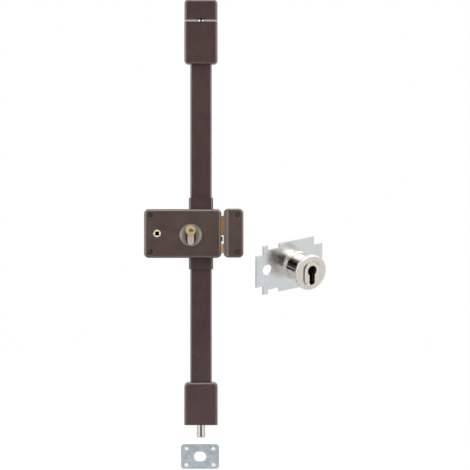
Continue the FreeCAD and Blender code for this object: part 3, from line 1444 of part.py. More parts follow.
case_cover()
back_plate()
bolt_guide()
cylinder_disc()
cylinder_body()
cylinder_plug()
cam_gear()
cylinder_screw()
drive_gear()
gear_axle()
axle_clip()
follower()
latch_bolt()
latch_tail()
latch_rivet()
latch_spring()
deadbolt()
deadbolt_rack()
deadbolt_rivet()
upper_rod()
lower_rod()
shoot_pin("upper", upper_pin_end, 1)
shoot_pin("lower", lower_pin_end, -1)
for side, way, end in (("upper", 1, mm.upper_end), ("lower", -1, -mm.lower_end)):
    collar(side, way)
    rod_cover(side, way, end)
    guide_box(side, way, end)
    pin_bearing(side, way, end)
top_keep()
side_keep()
floor_plate()
guard_plate()
guard_barrel()
guard_ring()
guard_rose()
guard_insert()
doc.recompute()


def failures():
    """What didn't come out: objects in error, and pieces with no sound shape."""
    found = [thing.Name for thing in doc.Objects if {"Invalid", "Error"} & set(thing.State)]
    for node, thing in pieces.items():
        shape = thing.Shape
        if shape.isNull() or not shape.isValid() or not shape.Solids:
            found.append(node)
    return found


problems = failures()
if problems:
    raise RuntimeError("these did not come out: " + ", ".join(problems))
os.makedirs("parts", exist_ok=True)
for node, thing in pieces.items():
    thing.Shape.exportStep(f"parts/{node}.step")
print(f"{len(pieces)} pieces, key throw {float(key_throw):.3f} mm")
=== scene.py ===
# %% [markdown]
# A surface mounted multipoint lock
#
# The lock is screwed on the room's side of a door. A key turns a gear wheel in the case, and
# the wheel draws two rods and a deadbolt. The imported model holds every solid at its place, so
# this lesson doesn't model the lock again. It gives each piece the finish that its metal has,
# adds the fine work that a solid leaves out, and lights it all like a product on white.

# %% Load the lock
import math

import bpy
from mathutils import Matrix, Vector


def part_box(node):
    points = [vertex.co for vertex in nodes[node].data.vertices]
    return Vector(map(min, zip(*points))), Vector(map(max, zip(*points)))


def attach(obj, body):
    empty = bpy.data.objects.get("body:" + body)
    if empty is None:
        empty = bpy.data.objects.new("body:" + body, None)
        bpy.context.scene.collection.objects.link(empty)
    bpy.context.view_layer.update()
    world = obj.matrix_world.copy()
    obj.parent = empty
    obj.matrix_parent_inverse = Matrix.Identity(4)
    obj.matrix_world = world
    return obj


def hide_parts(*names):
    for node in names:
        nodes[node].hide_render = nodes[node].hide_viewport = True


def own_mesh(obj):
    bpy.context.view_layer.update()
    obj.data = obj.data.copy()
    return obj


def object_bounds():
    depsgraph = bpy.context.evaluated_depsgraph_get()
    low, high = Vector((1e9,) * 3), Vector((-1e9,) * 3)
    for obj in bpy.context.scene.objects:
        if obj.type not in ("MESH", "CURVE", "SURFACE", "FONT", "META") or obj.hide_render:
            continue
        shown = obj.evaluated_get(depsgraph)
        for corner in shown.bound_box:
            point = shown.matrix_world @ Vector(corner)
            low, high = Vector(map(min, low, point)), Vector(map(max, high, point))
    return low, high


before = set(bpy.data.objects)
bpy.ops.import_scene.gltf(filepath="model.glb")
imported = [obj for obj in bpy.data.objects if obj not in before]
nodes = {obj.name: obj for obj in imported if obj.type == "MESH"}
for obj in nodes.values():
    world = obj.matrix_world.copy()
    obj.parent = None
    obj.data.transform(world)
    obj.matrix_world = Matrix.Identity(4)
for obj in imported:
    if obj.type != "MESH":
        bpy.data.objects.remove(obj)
cad_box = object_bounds()
MM = 0.001

# %% [markdown]
# The camera
#
# A product picture of something long and flat is taken from far away with a long lens, so
# that its ends don't lean. What fills the frame at the object then follows from three
# numbers: the lens, the sensor and the distance. The width that should fit is known here,
# so the lens is worked out from it.

# %% Place the camera
FRAME_WIDE = 789.6 * MM
VIEW_MIDDLE = Vector((57.1 * MM, -20 * MM, -2.5 * MM))
CAMERA_AWAY = 5.0

lens = bpy.data.cameras.new("product_camera")
lens.sensor_width = 36.0
lens.lens = lens.sensor_width * CAMERA_AWAY / FRAME_WIDE
camera = bpy.data.objects.new("product_camera", lens)
camera.location = VIEW_MIDDLE + Vector((0, -CAMERA_AWAY, 0))
camera.rotation_euler = (math.radians(90), 0, 0)
bpy.context.scene.collection.objects.link(camera)
bpy.context.scene.camera = camera
print("lens:", round(lens.lens), "mm")

# %% [markdown]
# Colours and nodes
#
# Colours are picked as they look on a screen, and a shader wants them linear, so one function
# turns the usual six-digit code. Patterns are sized in millimetres as well: a noise texture's
# scale counts its lumps in a metre, and one division gives it from the size of a lump. The
# third helper adds a node together with its settings, its values and its links, and the
# fourth starts a material from the numbers of its principled shader.


# %% Four small helpers
def linear(code):
    """A colour code such as #584a42 as linear RGBA."""
    parts = [int(code[start:start + 2], 16) / 255 for start in (1, 3, 5)]
    curve = [p / 12.92 if p <= 0.04045 else ((p + 0.055) / 1.055) ** 2.4 for p in parts]
    return (*curve, 1.0)


def per_metre(size_mm):
    """How many lumps of a pattern fit in a metre."""
    return 1000 / size_mm


def add_node(tree, kind, settings=None, values=None, links=None):
    """Add a node, with its settings, its sockets' own values and what is linked to them."""
    node = tree.nodes.new(kind)
    for name, value in (settings or {}).items():
        setattr(node, name, value)
    for name, value in (values or {}).items():
        node.inputs[name].default_value = value
    for name, socket in (links or {}).items():
        tree.links.new(socket, node.inputs[name])
    return node


def new_finish(name, **numbers):
    """A material with its principled shader's numbers set, such as Base_Color."""
    material = bpy.data.materials.new(name)
    material.use_nodes = True
    tree = material.node_tree
    shader = tree.nodes["Principled BSDF"]
    for socket, value in numbers.items():
        shader.inputs[socket.replace("_", " ")].default_value = value
    return material, tree, shader


# %% [markdown]
# The studio
#
# Metal has no colour of its own to show: it shows the room. In a product studio the room is
# white at the sides and behind the object, and dark where the camera stands. That is why the
# pins have bright sides and a dark stripe down the middle, and why the rounded edges of the
# paint are light round a darker face. So the world is white, and a dark curtain stands behind
# the camera, with a cloth of the same on the floor before it, where only reflections see them.
# The lamps are wide and soft.


# %% White world
WHITE = (1, 1, 1, 1)
FILL = 0.42


def white_world():
    """White to the camera and to mirrors, and a weaker fill for everything else."""
    world = bpy.data.worlds.new("studio_world")
    world.use_nodes = True
    tree = world.node_tree
    tree.nodes.clear()
    path = add_node(tree, "ShaderNodeLightPath")
    seen = add_node(
        tree, "ShaderNodeMath", {"operation": "MAXIMUM"},
        links={0: path.outputs["Is Camera Ray"], 1: path.outputs["Is Transmission Ray"]},
    )
    shown = add_node(
        tree, "ShaderNodeMath", {"operation": "MAXIMUM"},
        links={0: seen.outputs[0], 1: path.outputs["Is Glossy Ray"]},
    )
    fill = add_node(tree, "ShaderNodeBackground", values={"Color": WHITE, "Strength": FILL})
    white = add_node(tree, "ShaderNodeBackground", values={"Color": WHITE, "Strength": 1.0})
    mix = add_node(
        tree, "ShaderNodeMixShader",
        links={0: shown.outputs[0], 1: fill.outputs[0], 2: white.outputs[0]},
    )
    add_node(tree, "ShaderNodeOutputWorld", links={"Surface": mix.outputs[0]})
    bpy.context.scene.world = world


white_world()
print("fill of the world:", FILL)


# %% Soft lamps
def soft_lamp(name, place, wide, tall, watts):
    """A rectangular lamp that looks at the middle of the lock."""
    lamp = bpy.data.lights.new(name, "AREA")
    lamp.shape = "RECTANGLE"
    lamp.size, lamp.size_y = wide, tall
    lamp.energy = watts
    holder = bpy.data.objects.new(name, lamp)
    holder.location = place
    holder.rotation_euler = (VIEW_MIDDLE - Vector(place)).to_track_quat("-Z", "Y").to_euler()
    bpy.context.scene.collection.objects.link(holder)
    print(name, watts, "W")


soft_lamp("left_softbox", (-2.3, -1.5, 0.8), wide=2.6, tall=2.4, watts=31)
soft_lamp("right_softbox", (2.5, -1.5, 0.8), wide=2.6, tall=2.4, watts=28)
soft_lamp("top_softbox", (0.1, -1.3, 2.5), wide=2.6, tall=1.6, watts=31)

# %% [markdown]
# Floor and cloth
#
# Everything of the studio that isn't a lamp is a flat sheet: the floor, the curtain with its
# cloth, and later the painted shade behind the holes. The floor has to look white and still
# hold a shadow. So the camera sees a mix: mostly an even glow, and the rest lit paint.


# %% Sheets of the studio
def flat_sheet(name, corners, material):
    """A rectangle of the studio, which isn't part of the lock."""
    mesh = bpy.data.meshes.new(name)
    mesh.from_pydata(corners, [], [(0, 1, 2, 3)])
    mesh.materials.append(material)
    sheet = bpy.data.objects.new(name, mesh)
    bpy.context.scene.collection.objects.link(sheet)
    print("sheet:", name)
    return sheet


def upright(x_range, y, z_range):
    """The corners of an upright rectangle that faces along -Y, as the lock's front does."""
    (left, right), (foot, top) = x_range, z_range
    return [Vector((x, y, z)) for x, z in ((left, foot), (right, foot), (right, top), (left, top))]


def only_in_reflections(sheet):
    """Keep a sheet out of sight, of shadows and of soft light."""
    sheet.visible_camera = False
    sheet.visible_shadow = False
    sheet.visible_diffuse = False
    sheet.visible_transmission = False


# %% White paint and dull cloth
FLOOR_GLOW = 1.08
FLOOR_SHARE = 0.88


def floor_paint():
    """Flat white emulsion: no shine, near white to the camera, and shadows still show on it."""
    material, tree, shader = new_finish(
        "white_floor_paint", Base_Color=linear("#e9e9e9"), Roughness=0.9
    )
    path = add_node(tree, "ShaderNodeLightPath")
    glow = add_node(tree, "ShaderNodeEmission", values={"Color": WHITE, "Strength": FLOOR_GLOW})
    share = add_node(
        tree, "ShaderNodeMath", {"operation": "MULTIPLY"}, {1: FLOOR_SHARE},
        {0: path.outputs["Is Camera Ray"]},
    )
    mix = add_node(
        tree, "ShaderNodeMixShader",
        links={0: share.outputs[0], 1: shader.outputs[0], 2: glow.outputs[0]},
    )
    tree.links.new(mix.outputs[0], tree.nodes["Material Output"].inputs["Surface"])
    return material


def dull_cloth(name, colour, glow=0.0):
    """Woven cotton: a colour, no shine, and a glow of the same colour if one is asked for."""
    return new_finish(
        name, Base_Color=linear(colour), Roughness=1.0, Specular_IOR_Level=0.0,
        Emission_Color=linear(colour), Emission_Strength=glow,
    )


# %% Lay the floor and hang the curtain
FLOOR_HALF = 9.0
FLOOR_DROP = 60 * MM
floor_z = cad_box[0].z - FLOOR_DROP
flat_sheet(
    "floor",
    [(x, y, floor_z) for x, y in (
        (-FLOOR_HALF, -FLOOR_HALF), (FLOOR_HALF, -FLOOR_HALF),
        (FLOOR_HALF, FLOOR_HALF), (-FLOOR_HALF, FLOOR_HALF),
    )],
    floor_paint(),
)

# In metres from the lock. The cloth is narrower near the lock, so that from there it looks
# as wide as the curtain.
CURTAIN_AWAY = 6.5
CURTAIN_HALF = 2.5
CURTAIN_TALL = 4.0
CLOTH_LIFT = 2 * MM
CLOTH_NEAR = 1.0
CLOTH_NEAR_HALF = CURTAIN_HALF * CLOTH_NEAR / CURTAIN_AWAY
black_cloth = dull_cloth("black_cloth", "#1c1a19")[0]
curtain = flat_sheet(
    "curtain",
    upright((-CURTAIN_HALF, CURTAIN_HALF), -CURTAIN_AWAY, (floor_z, CURTAIN_TALL)), black_cloth,
)
floor_cloth = flat_sheet(
    "floor_cloth",
    [(x, -y, floor_z + CLOTH_LIFT) for x, y in (
        (-CURTAIN_HALF, CURTAIN_AWAY), (CURTAIN_HALF, CURTAIN_AWAY),
        (CLOTH_NEAR_HALF, CLOTH_NEAR), (-CLOTH_NEAR_HALF, CLOTH_NEAR),
    )],
    black_cloth,
)
for sheet in (curtain, floor_cloth):
    only_in_reflections(sheet)
print("floor at", round(floor_z / MM), "mm")

# %% [markdown]
# Painted shade in the deep holes
#
# The follower's square hole goes right through, and on a door there is a dark bore behind it.
# The guard's keyhole opening is dark in the same way, since a cylinder fills it. A small black
# sheet in each is painted shade. Beside the cylinder's leg one looks into the case, where the
# light that gets in is brown from the paint, and a faintly glowing brown sheet paints that dim
# light. A sheet shows from its front alone, so the holes stay open when the lock is seen from
# behind.


# %% Painted shade, from in front alone
def painted_shade_sheet(name, colour, glow):
    """Painted shade: a flat colour, a painted glow of that colour if one is asked for, and nothing
    at all from behind.
    """
    material, tree, shader = dull_cloth(name, colour, glow)
    side = add_node(tree, "ShaderNodeNewGeometry")
    clear = add_node(tree, "ShaderNodeBsdfTransparent")
    mix = add_node(
        tree, "ShaderNodeMixShader",
        links={0: side.outputs["Backfacing"], 1: shader.outputs[0], 2: clear.outputs[0]},
    )
    tree.links.new(mix.outputs[0], tree.nodes["Material Output"].inputs["Surface"])
    return material


# %% Painted black shade behind the spindle's hole
painted_black_shade = painted_shade_sheet("painted_shade_sheet", "#0e0c0b", glow=0.0)
FOLLOWER_X = -73.3 * MM
BORE_HALF = 6.0 * MM
BORE_BEHIND = 0.4 * MM
flat_sheet(
    "spindle_painted_shade",
    upright((FOLLOWER_X - BORE_HALF, FOLLOWER_X + BORE_HALF), BORE_BEHIND, (-BORE_HALF, BORE_HALF)),
    painted_black_shade,
)

# %% Painted dim brown light behind the disc's window
WINDOW_HALF = 9.0 * MM
WINDOW_BEHIND = -36.3 * MM
WINDOW_FOOT = -20.0 * MM
WINDOW_TOP = 4.0 * MM
KEY_X = -17.0 * MM
flat_sheet(
    "disc_window_shade",
    upright((KEY_X - WINDOW_HALF, KEY_X + WINDOW_HALF), WINDOW_BEHIND, (WINDOW_FOOT, WINDOW_TOP)),
    painted_shade_sheet("painted_brown_glow", "#3a2c27", glow=1.0),
)

# %% Painted black shade in the guard's opening
# The guard has its own axes: its plate is tipped forward and turned to the right.
TIPPED = Matrix.Rotation(math.radians(18), 3, "X")
TURNED = Matrix.Rotation(math.radians(33), 3, "Z")
GUARD_TURN = TIPPED @ TURNED
GUARD_PLACE = Vector((159.6 * MM, -30.0 * MM, -49.8 * MM))
OPENING_DEEP = 41.6 * MM
OPENING_HALF = 9.5 * MM
OPENING_FOOT = -25.5 * MM
opening = upright((-OPENING_HALF, OPENING_HALF), -OPENING_DEEP, (OPENING_FOOT, OPENING_HALF))
flat_sheet("guard_painted_shade", [GUARD_PLACE + GUARD_TURN @ c for c in opening], painted_black_shade)

# %% [markdown]
# The finishes
#
# Every finish starts from what it is: baked paint, zinc, nickel, chrome or brass, and how the
# surface under it was made. The principled shader holds the common numbers. Noise, cells and
# rings on top of it give what the eye looks for, such as the orange peel of paint or the
# rings that a lathe leaves. All patterns read Object coordinates, which stay with a piece
# when it moves, and a Mapping node centres and turns them.


# %% Patterns on a finish
def place_of(tree, move=(0, 0, 0), turn=(0, 0, 0), stretch=(1, 1, 1)):
    """Object coordinates, taken from a place and turn of the pattern's own."""
    where = add_node(tree, "ShaderNodeTexCoord")
    mapping = add_node(
        tree, "ShaderNodeMapping", {"vector_type": "TEXTURE"},
        {"Location": move, "Rotation": turn, "Scale": stretch}, {"Vector": where.outputs["Object"]},
    )
    return mapping.outputs[0]


def noise(tree, where, size_mm, detail=3.0):
    """Lumps of a size in millimetres."""
    return add_node(
        tree, "ShaderNodeTexNoise", values={"Scale": per_metre(size_mm), "Detail": detail},
        links={"Vector": where},
    ).outputs["Fac"]


# Most of what a noise texture gives lies between these two.
NOISE_FROM, NOISE_TO = 0.3, 0.7


def between(tree, amount, low, high):
    """The usual range of a pattern, spread from low to high."""
    return add_node(
        tree, "ShaderNodeMapRange",
        values={"From Min": NOISE_FROM, "From Max": NOISE_TO, "To Min": low, "To Max": high},
        links={"Value": amount},
    ).outputs[0]


def blend_colours(tree, amount, low, high):
    """One colour where the pattern is 0, another where it is 1, and a mix of both between."""
    node = add_node(tree, "ShaderNodeMix", {"data_type": "RGBA"}, links={0: amount})
    node.inputs[6].default_value = linear(low)
    node.inputs[7].default_value = linear(high)
    return node.outputs[2]


def emboss(tree, shader, height, deep_mm, edge_mm=0.5):
    """Bend the light as if the pattern stood up by a depth and sharp edges were rounded."""
    edge = add_node(tree, "ShaderNodeBevel", {"samples": 6}, {"Radius": edge_mm * MM})
    bump = add_node(
        tree, "ShaderNodeBump", values={"Strength": 1.0, "Distance": deep_mm * MM},
        links={"Height": height, "Normal": edge.outputs[0]},
    )
    tree.links.new(bump.outputs[0], shader.inputs["Normal"])


# %% [markdown]
# Baked brown paint
#
# The case, covers, boxes and keeps are pressed steel under satin polyester paint, sprayed and
# baked. It gives the eye three things: a soft shine, very slight clouds of colour, and
# orange peel. Real orange peel is about 1 mm across, which is finer than a pixel here, so it
# is drawn at 2.5 mm.


# %% Baked brown paint
def baked_brown_paint(name, low, high):
    """Satin polyester paint: a soft shine, slight clouds and orange peel."""
    material, tree, shader = new_finish(
        name, Metallic=0.0, Roughness=0.34, Specular_IOR_Level=0.9,
        Coat_Weight=0.6, Coat_Roughness=0.22,
    )
    where = place_of(tree)
    clouds = between(tree, noise(tree, where, size_mm=45), low=0, high=1)
    tree.links.new(blend_colours(tree, clouds, low, high), shader.inputs["Base Color"])
    shine = between(tree, noise(tree, where, size_mm=12), low=0.3, high=0.38)
    tree.links.new(shine, shader.inputs["Roughness"])
    emboss(tree, shader, noise(tree, where, size_mm=2.5, detail=2.0), deep_mm=0.012)
    return material


# %% [markdown]
# The keep's slope
#
# The side keep's front slopes towards the bolts. The slope is pressed as two steeper ramps
# with a ledge between them, so it shows two bright lines and a darker band. The ledge is a
# matter of a millimetre or so, and here it bends the light while the solid stays flat.


# %% Ramps and ledge on the slope
# The ledge's depth in mm, and its height at places along the slope, both from 0 to 1.
LEDGE_DEEP = 1.6
LEDGE_PROFILE = ((0.0, 0.55), (0.2, 1.0), (0.72, 0.0), (1.0, 0.55))
JUST_BEHIND = 0.05 * MM


def press_ledge(material, low, high):
    """Bend a paint's light along X from low to high, on the surface in front of the edge."""
    tree = material.node_tree
    shader = tree.nodes["Principled BSDF"]
    parts = add_node(tree, "ShaderNodeSeparateXYZ", links={0: place_of(tree)})
    along = add_node(
        tree, "ShaderNodeMapRange", values={"From Min": low.x, "From Max": high.x},
        links={"Value": parts.outputs["X"]},
    )
    profile = add_node(tree, "ShaderNodeValToRGB", links={0: along.outputs[0]})
    stops = profile.color_ramp.elements
    while len(stops) < len(LEDGE_PROFILE):
        stops.new(0.5)
    for stop, (place, height) in zip(stops, LEDGE_PROFILE):
        stop.position = place
        stop.color = (height, height, height, 1.0)
    front = add_node(
        tree, "ShaderNodeMath", {"operation": "LESS_THAN"}, {1: low.y + JUST_BEHIND},
        {0: parts.outputs["Y"]},
    )
    paint_bump = shader.inputs["Normal"].links[0].from_socket
    bend = add_node(
        tree, "ShaderNodeBump", values={"Distance": LEDGE_DEEP * MM},
        links={"Strength": front.outputs[0], "Height": profile.outputs[0], "Normal": paint_bump},
    )
    tree.links.new(bend.outputs[0], shader.inputs["Normal"])


# %% [markdown]
# Zinc
#
# Two kinds. The plates that go outside are zinc dipped or thickly plated, so the zinc has
# set in crystals, each a little lighter or darker than the next. Cells a few millimetres
# across give that. The works inside are thinly plated after rolling, so they have a finer
# grain that runs along the strip.


# %% Zinc plate and zinc steel
CRYSTAL_SIZE = 2.6
ALONG_STRIP = (1, 1, 14)


def mottled_zinc(name, low, high, rough):
    """Hot-dip zinc: soft crystals, some lighter and some darker."""
    material, tree, shader = new_finish(name, Metallic=1.0, Roughness=rough)
    where = place_of(tree)
    crystals = add_node(
        tree, "ShaderNodeTexVoronoi", {"feature": "SMOOTH_F1"},
        {"Scale": per_metre(CRYSTAL_SIZE), "Smoothness": 1.0, "Randomness": 1.0}, {"Vector": where},
    ).outputs["Color"]
    grey = add_node(tree, "ShaderNodeSeparateColor", links={0: crystals}).outputs[0]
    cloud = noise(tree, where, size_mm=7)
    mixed = add_node(tree, "ShaderNodeMath", {"operation": "ADD"}, links={0: grey, 1: cloud})
    half = add_node(
        tree, "ShaderNodeMath", {"operation": "MULTIPLY"}, {1: 0.5}, {0: mixed.outputs[0]}
    )
    amount = between(tree, half.outputs[0], low=0, high=1)
    tree.links.new(blend_colours(tree, amount, low, high), shader.inputs["Base Color"])
    tree.links.new(between(tree, cloud, rough - 0.02, rough + 0.03), shader.inputs["Roughness"])
    emboss(tree, shader, noise(tree, where, size_mm=1.5), deep_mm=0.004)
    return material


def rolled_zinc_steel():
    """Rolled strip with a thin bright zinc: a fine grain, long in the strip's direction."""
    material, tree, shader = new_finish("rolled_zinc_steel", Metallic=1.0, Roughness=0.38)
    where = place_of(tree, stretch=ALONG_STRIP)
    grain = noise(tree, where, size_mm=0.8)
    amount = between(tree, grain, low=0, high=1)
    tree.links.new(blend_colours(tree, amount, "#b2b4b3", "#c2c4c2"), shader.inputs["Base Color"])
    tree.links.new(between(tree, grain, low=0.34, high=0.42), shader.inputs["Roughness"])
    emboss(tree, shader, grain, deep_mm=0.0012)
    return material


# %% [markdown]
# Turned and plated metal
#
# A lathe leaves rings round the axis that it turned about, so the disc, the key plug, the
# follower and the guard's rose and ring have them, each round its own axis. A wave texture
# draws rings round an axis of its coordinates, so a Mapping node first carries the pattern to
# the place and turn of the piece. Real turning marks are about 0.1 mm apart, drawn here at
# 1 mm. The disc and the plug are painted darker towards the middle than at the rim. On the
# disc that is a painted highlight: the light that a rounded rim would catch from the side
# lamps.


# %% Rings of a lathe
# At a scale of 1, the wave texture runs through 20 radians in one unit.
WAVES_PER_UNIT = 20 / (2 * math.pi)
RING_SPACING = 1.0


def lathe_rings(tree, where):
    """Rings round the Y axis of the coordinates given."""
    scale = per_metre(RING_SPACING) / WAVES_PER_UNIT
    return add_node(
        tree, "ShaderNodeTexWave",
        {"wave_type": "RINGS", "rings_direction": "Y"},
        {"Scale": scale, "Distortion": 0.4, "Detail": 1.0, "Detail Scale": 2.0},
        {"Vector": where},
    ).outputs["Fac"]


def towards_rim(tree, where, inner_mm, outer_mm):
    """From 0 at one distance from the axis to 1 at another."""
    flat = add_node(
        tree, "ShaderNodeVectorMath", {"operation": "MULTIPLY"}, {1: (1, 0, 1)}, {0: where}
    )
    away = add_node(
        tree, "ShaderNodeVectorMath", {"operation": "LENGTH"}, links={0: flat.outputs[0]}
    )
    return add_node(
        tree, "ShaderNodeMapRange", {"interpolation_type": "SMOOTHSTEP"},
        {"From Min": inner_mm * MM, "From Max": outer_mm * MM},
        {"Value": away.outputs["Value"]},
    ).outputs[0]


# %% Turned metal
def turned_metal(
    name, low, high, rough, axis_place, axis_turn=(0, 0, 0), brushed=0.0, rim=(),
):
    """Metal with turning marks round an axis that runs along Y in the pattern's own place.

    Brushed marks blur what the metal mirrors away from the axis, and hardly round it. A rim is
    the two distances from the axis, in mm, between which a darker middle turns to a lighter edge.
    """
    material, tree, shader = new_finish(name, Metallic=1.0, Roughness=rough, Anisotropic=brushed)
    where = place_of(tree, axis_place, axis_turn)
    if brushed:
        outward = add_node(
            tree, "ShaderNodeVectorMath", {"operation": "MULTIPLY"}, {1: (1, 0, 1)}, {0: where}
        )
        tree.links.new(outward.outputs[0], shader.inputs["Tangent"])
    rings = lathe_rings(tree, where)
    cloud = between(tree, noise(tree, where, size_mm=6), low=0, high=1)
    # With a rim, the colour turns from darker in the middle to lighter at the rim. On the disc this
    # is a painted highlight.
    if rim:
        cloud = towards_rim(tree, where, *rim)
    tree.links.new(blend_colours(tree, cloud, low, high), shader.inputs["Base Color"])
    tree.links.new(between(tree, rings, rough - 0.01, rough + 0.015), shader.inputs["Roughness"])
    emboss(tree, shader, rings, deep_mm=0.00025)
    return material


# %% [markdown]
# Worn nickel
#
# The cylinder is cast brass with a nickel plating. Where the key scrapes past, the plating is
# gone and the brass shows, and the leg's foot, which nothing touches, is the cleanest. So the
# colour follows the distance from the key's axis.


# %% Worn nickel
BARE_BRASS = "#e8d49c"
WORN_NICKEL = "#efdccb"
CLEAN_NICKEL = "#f8ebe2"


def worn_nickel(name, axis_place, rough):
    """Cast nickel over brass: the brass shows at the key, and the foot is the cleanest."""
    material, tree, shader = new_finish(name, Metallic=1.0, Roughness=rough)
    where = place_of(tree, axis_place)
    off_plug = towards_rim(tree, where, inner_mm=6.8, outer_mm=8.8)
    colour = blend_colours(tree, off_plug, BARE_BRASS, WORN_NICKEL)
    down_leg = towards_rim(tree, where, inner_mm=9, outer_mm=24)
    foot = add_node(
        tree, "ShaderNodeMix", {"data_type": "RGBA"}, links={0: down_leg, 6: colour}
    )
    foot.inputs[7].default_value = linear(CLEAN_NICKEL)
    tree.links.new(foot.outputs[2], shader.inputs["Base Color"])
    cloud = noise(tree, where, size_mm=3)
    tree.links.new(between(tree, cloud, rough - 0.04, rough + 0.04), shader.inputs["Roughness"])
    emboss(tree, shader, cloud, deep_mm=0.002)
    return material


# %% [markdown]
# Chrome with painted reflections
#
# The guard's barrel is polished chrome, and its left side has two dark bands that run along
# it. They are painted reflections: the colour turns dark in each band, and roughness and a
# bump give each band the rounded edges of a shallow slot. Each is told by its angle round the
# barrel, since a band along a turned piece is an angle and not a place.


# %% Chrome with painted reflections
# Each painted reflection band's middle and half width, in degrees round the barrel, and the
# width of its edge. Angles run from -180 to 180 degrees, so the second band stops short at 180.
PAINTED_REFLECTION_BANDS = ((147, 9), (177, 10))
BAND_EDGE = 4
POLISHED, DULLED = 0.08, 0.3
# The bands' dark colour is a painted reflection.
CHROME_COLOUR, PAINTED_REFLECTION_COLOUR = "#ddd8d2", "#3b3234"


def chrome_with_painted_reflections(name, axis_place, axis_turn):
    """Polished chrome, with two long dark painted reflections along its left side, bumped like
    shallow slots.
    """
    material, tree, shader = new_finish(name, Metallic=1.0, Roughness=POLISHED)
    where = place_of(tree, axis_place, axis_turn)
    parts = add_node(tree, "ShaderNodeSeparateXYZ", links={0: where})
    angle = add_node(
        tree, "ShaderNodeMath", {"operation": "ARCTAN2"},
        links={0: parts.outputs["Z"], 1: parts.outputs["X"]},
    )
    in_band = None
    for centre, half in PAINTED_REFLECTION_BANDS:
        away = add_node(
            tree, "ShaderNodeMath", {"operation": "SUBTRACT"}, {1: math.radians(centre)},
            {0: angle.outputs[0]},
        )
        off = add_node(
            tree, "ShaderNodeMath", {"operation": "ABSOLUTE"}, links={0: away.outputs[0]}
        )
        inside = add_node(
            tree, "ShaderNodeMapRange", {"interpolation_type": "SMOOTHSTEP"},
            {
                "From Min": math.radians(half), "From Max": math.radians(half - BAND_EDGE),
                "To Min": 0.0, "To Max": 1.0,
            },
            {"Value": off.outputs[0]},
        )
        if in_band is not None:
            inside = add_node(
                tree, "ShaderNodeMath", {"operation": "MAXIMUM"},
                links={0: inside.outputs[0], 1: in_band},
            )
        in_band = inside.outputs[0]
    # In the bands the colour turns dark, which is a painted reflection. Roughness and a bump give
    # the bands slot edges.
    colour = blend_colours(tree, in_band, CHROME_COLOUR, PAINTED_REFLECTION_COLOUR)
    tree.links.new(colour, shader.inputs["Base Color"])
    rough = add_node(
        tree, "ShaderNodeMapRange", values={"To Min": POLISHED, "To Max": DULLED},
        links={"Value": in_band},
    )
    tree.links.new(rough.outputs[0], shader.inputs["Roughness"])
    sunk = add_node(tree, "ShaderNodeMath", {"operation": "SUBTRACT"}, {0: 1.0}, {1: in_band})
    emboss(tree, shader, sunk.outputs[0], deep_mm=0.3, edge_mm=0.3)
    return material


# %% [markdown]
# Drawn and milled metal
#
# A pin is drawn through a die and a bolt is milled, and both leave a grain along one axis. The
# noise is stretched along that axis, and the rest is the metal's own shine.


# %% Drawn and milled metal
ALONG_PIN = (1, 1, 12)
ALONG_BOLT = (12, 1, 1)


def drawn_metal(name, low, high, rough, stretch):
    """Metal that was drawn or milled along one axis, with its grain along it."""
    material, tree, shader = new_finish(name, Metallic=1.0, Roughness=rough)
    where = place_of(tree, stretch=stretch)
    grain = noise(tree, where, size_mm=0.7)
    amount = between(tree, grain, low=0, high=1)
    tree.links.new(blend_colours(tree, amount, low, high), shader.inputs["Base Color"])
    tree.links.new(between(tree, grain, rough - 0.05, rough + 0.06), shader.inputs["Roughness"])
    emboss(tree, shader, grain, deep_mm=0.002)
    return material


# %% Where the turned pieces have their axes
def middle(node):
    """The middle of a piece's box, which is on the axis of a round piece."""
    low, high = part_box(node)
    return (low + high) / 2


disc_axis = middle("cylinder_disc")
plug_axis = middle("cylinder_plug")
follower_axis = Vector((FOLLOWER_X, 0, 0))
guard_axis = middle("guard_barrel")
rose_axis = middle("guard_rose")
print("key's axis:", [round(c / MM, 1) for c in plug_axis], "mm")

# %% Mix the paints and the zinc
case_paint = baked_brown_paint("baked_brown_case_paint", "#4d3d37", "#55453c")
keep_paint = baked_brown_paint("baked_brown_keep_paint", "#4d3d37", "#55453c")
SLOPE_LOW = Vector((38.0 * MM, -39.5 * MM, 0))
SLOPE_HIGH = Vector((46.0 * MM, -43.0 * MM, 0))
press_ledge(keep_paint, SLOPE_LOW, SLOPE_HIGH)
# The covers, boxes and top keep get the case's paint made darker, which is painted shade.
shaded_cover_paint = baked_brown_paint("baked_brown_paint_shaded", "#43312f", "#4b3834")
floor_zinc = mottled_zinc("floor_zinc", "#cfd9e0", "#e3ecf2", rough=0.42)
guard_zinc = mottled_zinc("guard_zinc", "#e2e6e7", "#ebeeee", rough=0.22)
zinc_steel = rolled_zinc_steel()

# %% Mix the turned metals
guard_angles = GUARD_TURN.to_euler()
# The disc's colour turns lighter towards its rim. This is a painted highlight, as a rounded rim
# would catch the side lamps.
disc_metal = turned_metal(
    "turned_dark_nickel", "#857972", "#c8beb4", rough=0.4, axis_place=disc_axis,
    brushed=0.75, rim=(9.5, 18.0),
)
rose_metal = turned_metal(
    "satin_nickel", "#e1dad2", "#eee7df", rough=0.26, axis_place=rose_axis, axis_turn=guard_angles
)
insert_metal = turned_metal(
    "satin_nickel_insert", "#e4dcd2", "#f0e9e0", rough=0.3, axis_place=rose_axis,
    axis_turn=guard_angles,
)
ring_chrome = turned_metal(
    "turned_chrome", "#ddd6cb", "#e6dfd5", rough=0.16, axis_place=guard_axis,
    axis_turn=guard_angles,
)
plug_brass = turned_metal(
    "turned_brass", "#9a8150", "#e4d4a8", rough=0.52, axis_place=plug_axis, rim=(1.0, 5.4)
)
follower_brass = turned_metal(
    "pale_turned_brass", "#f6e6bb", "#fbefd0", rough=0.62, axis_place=follower_axis
)

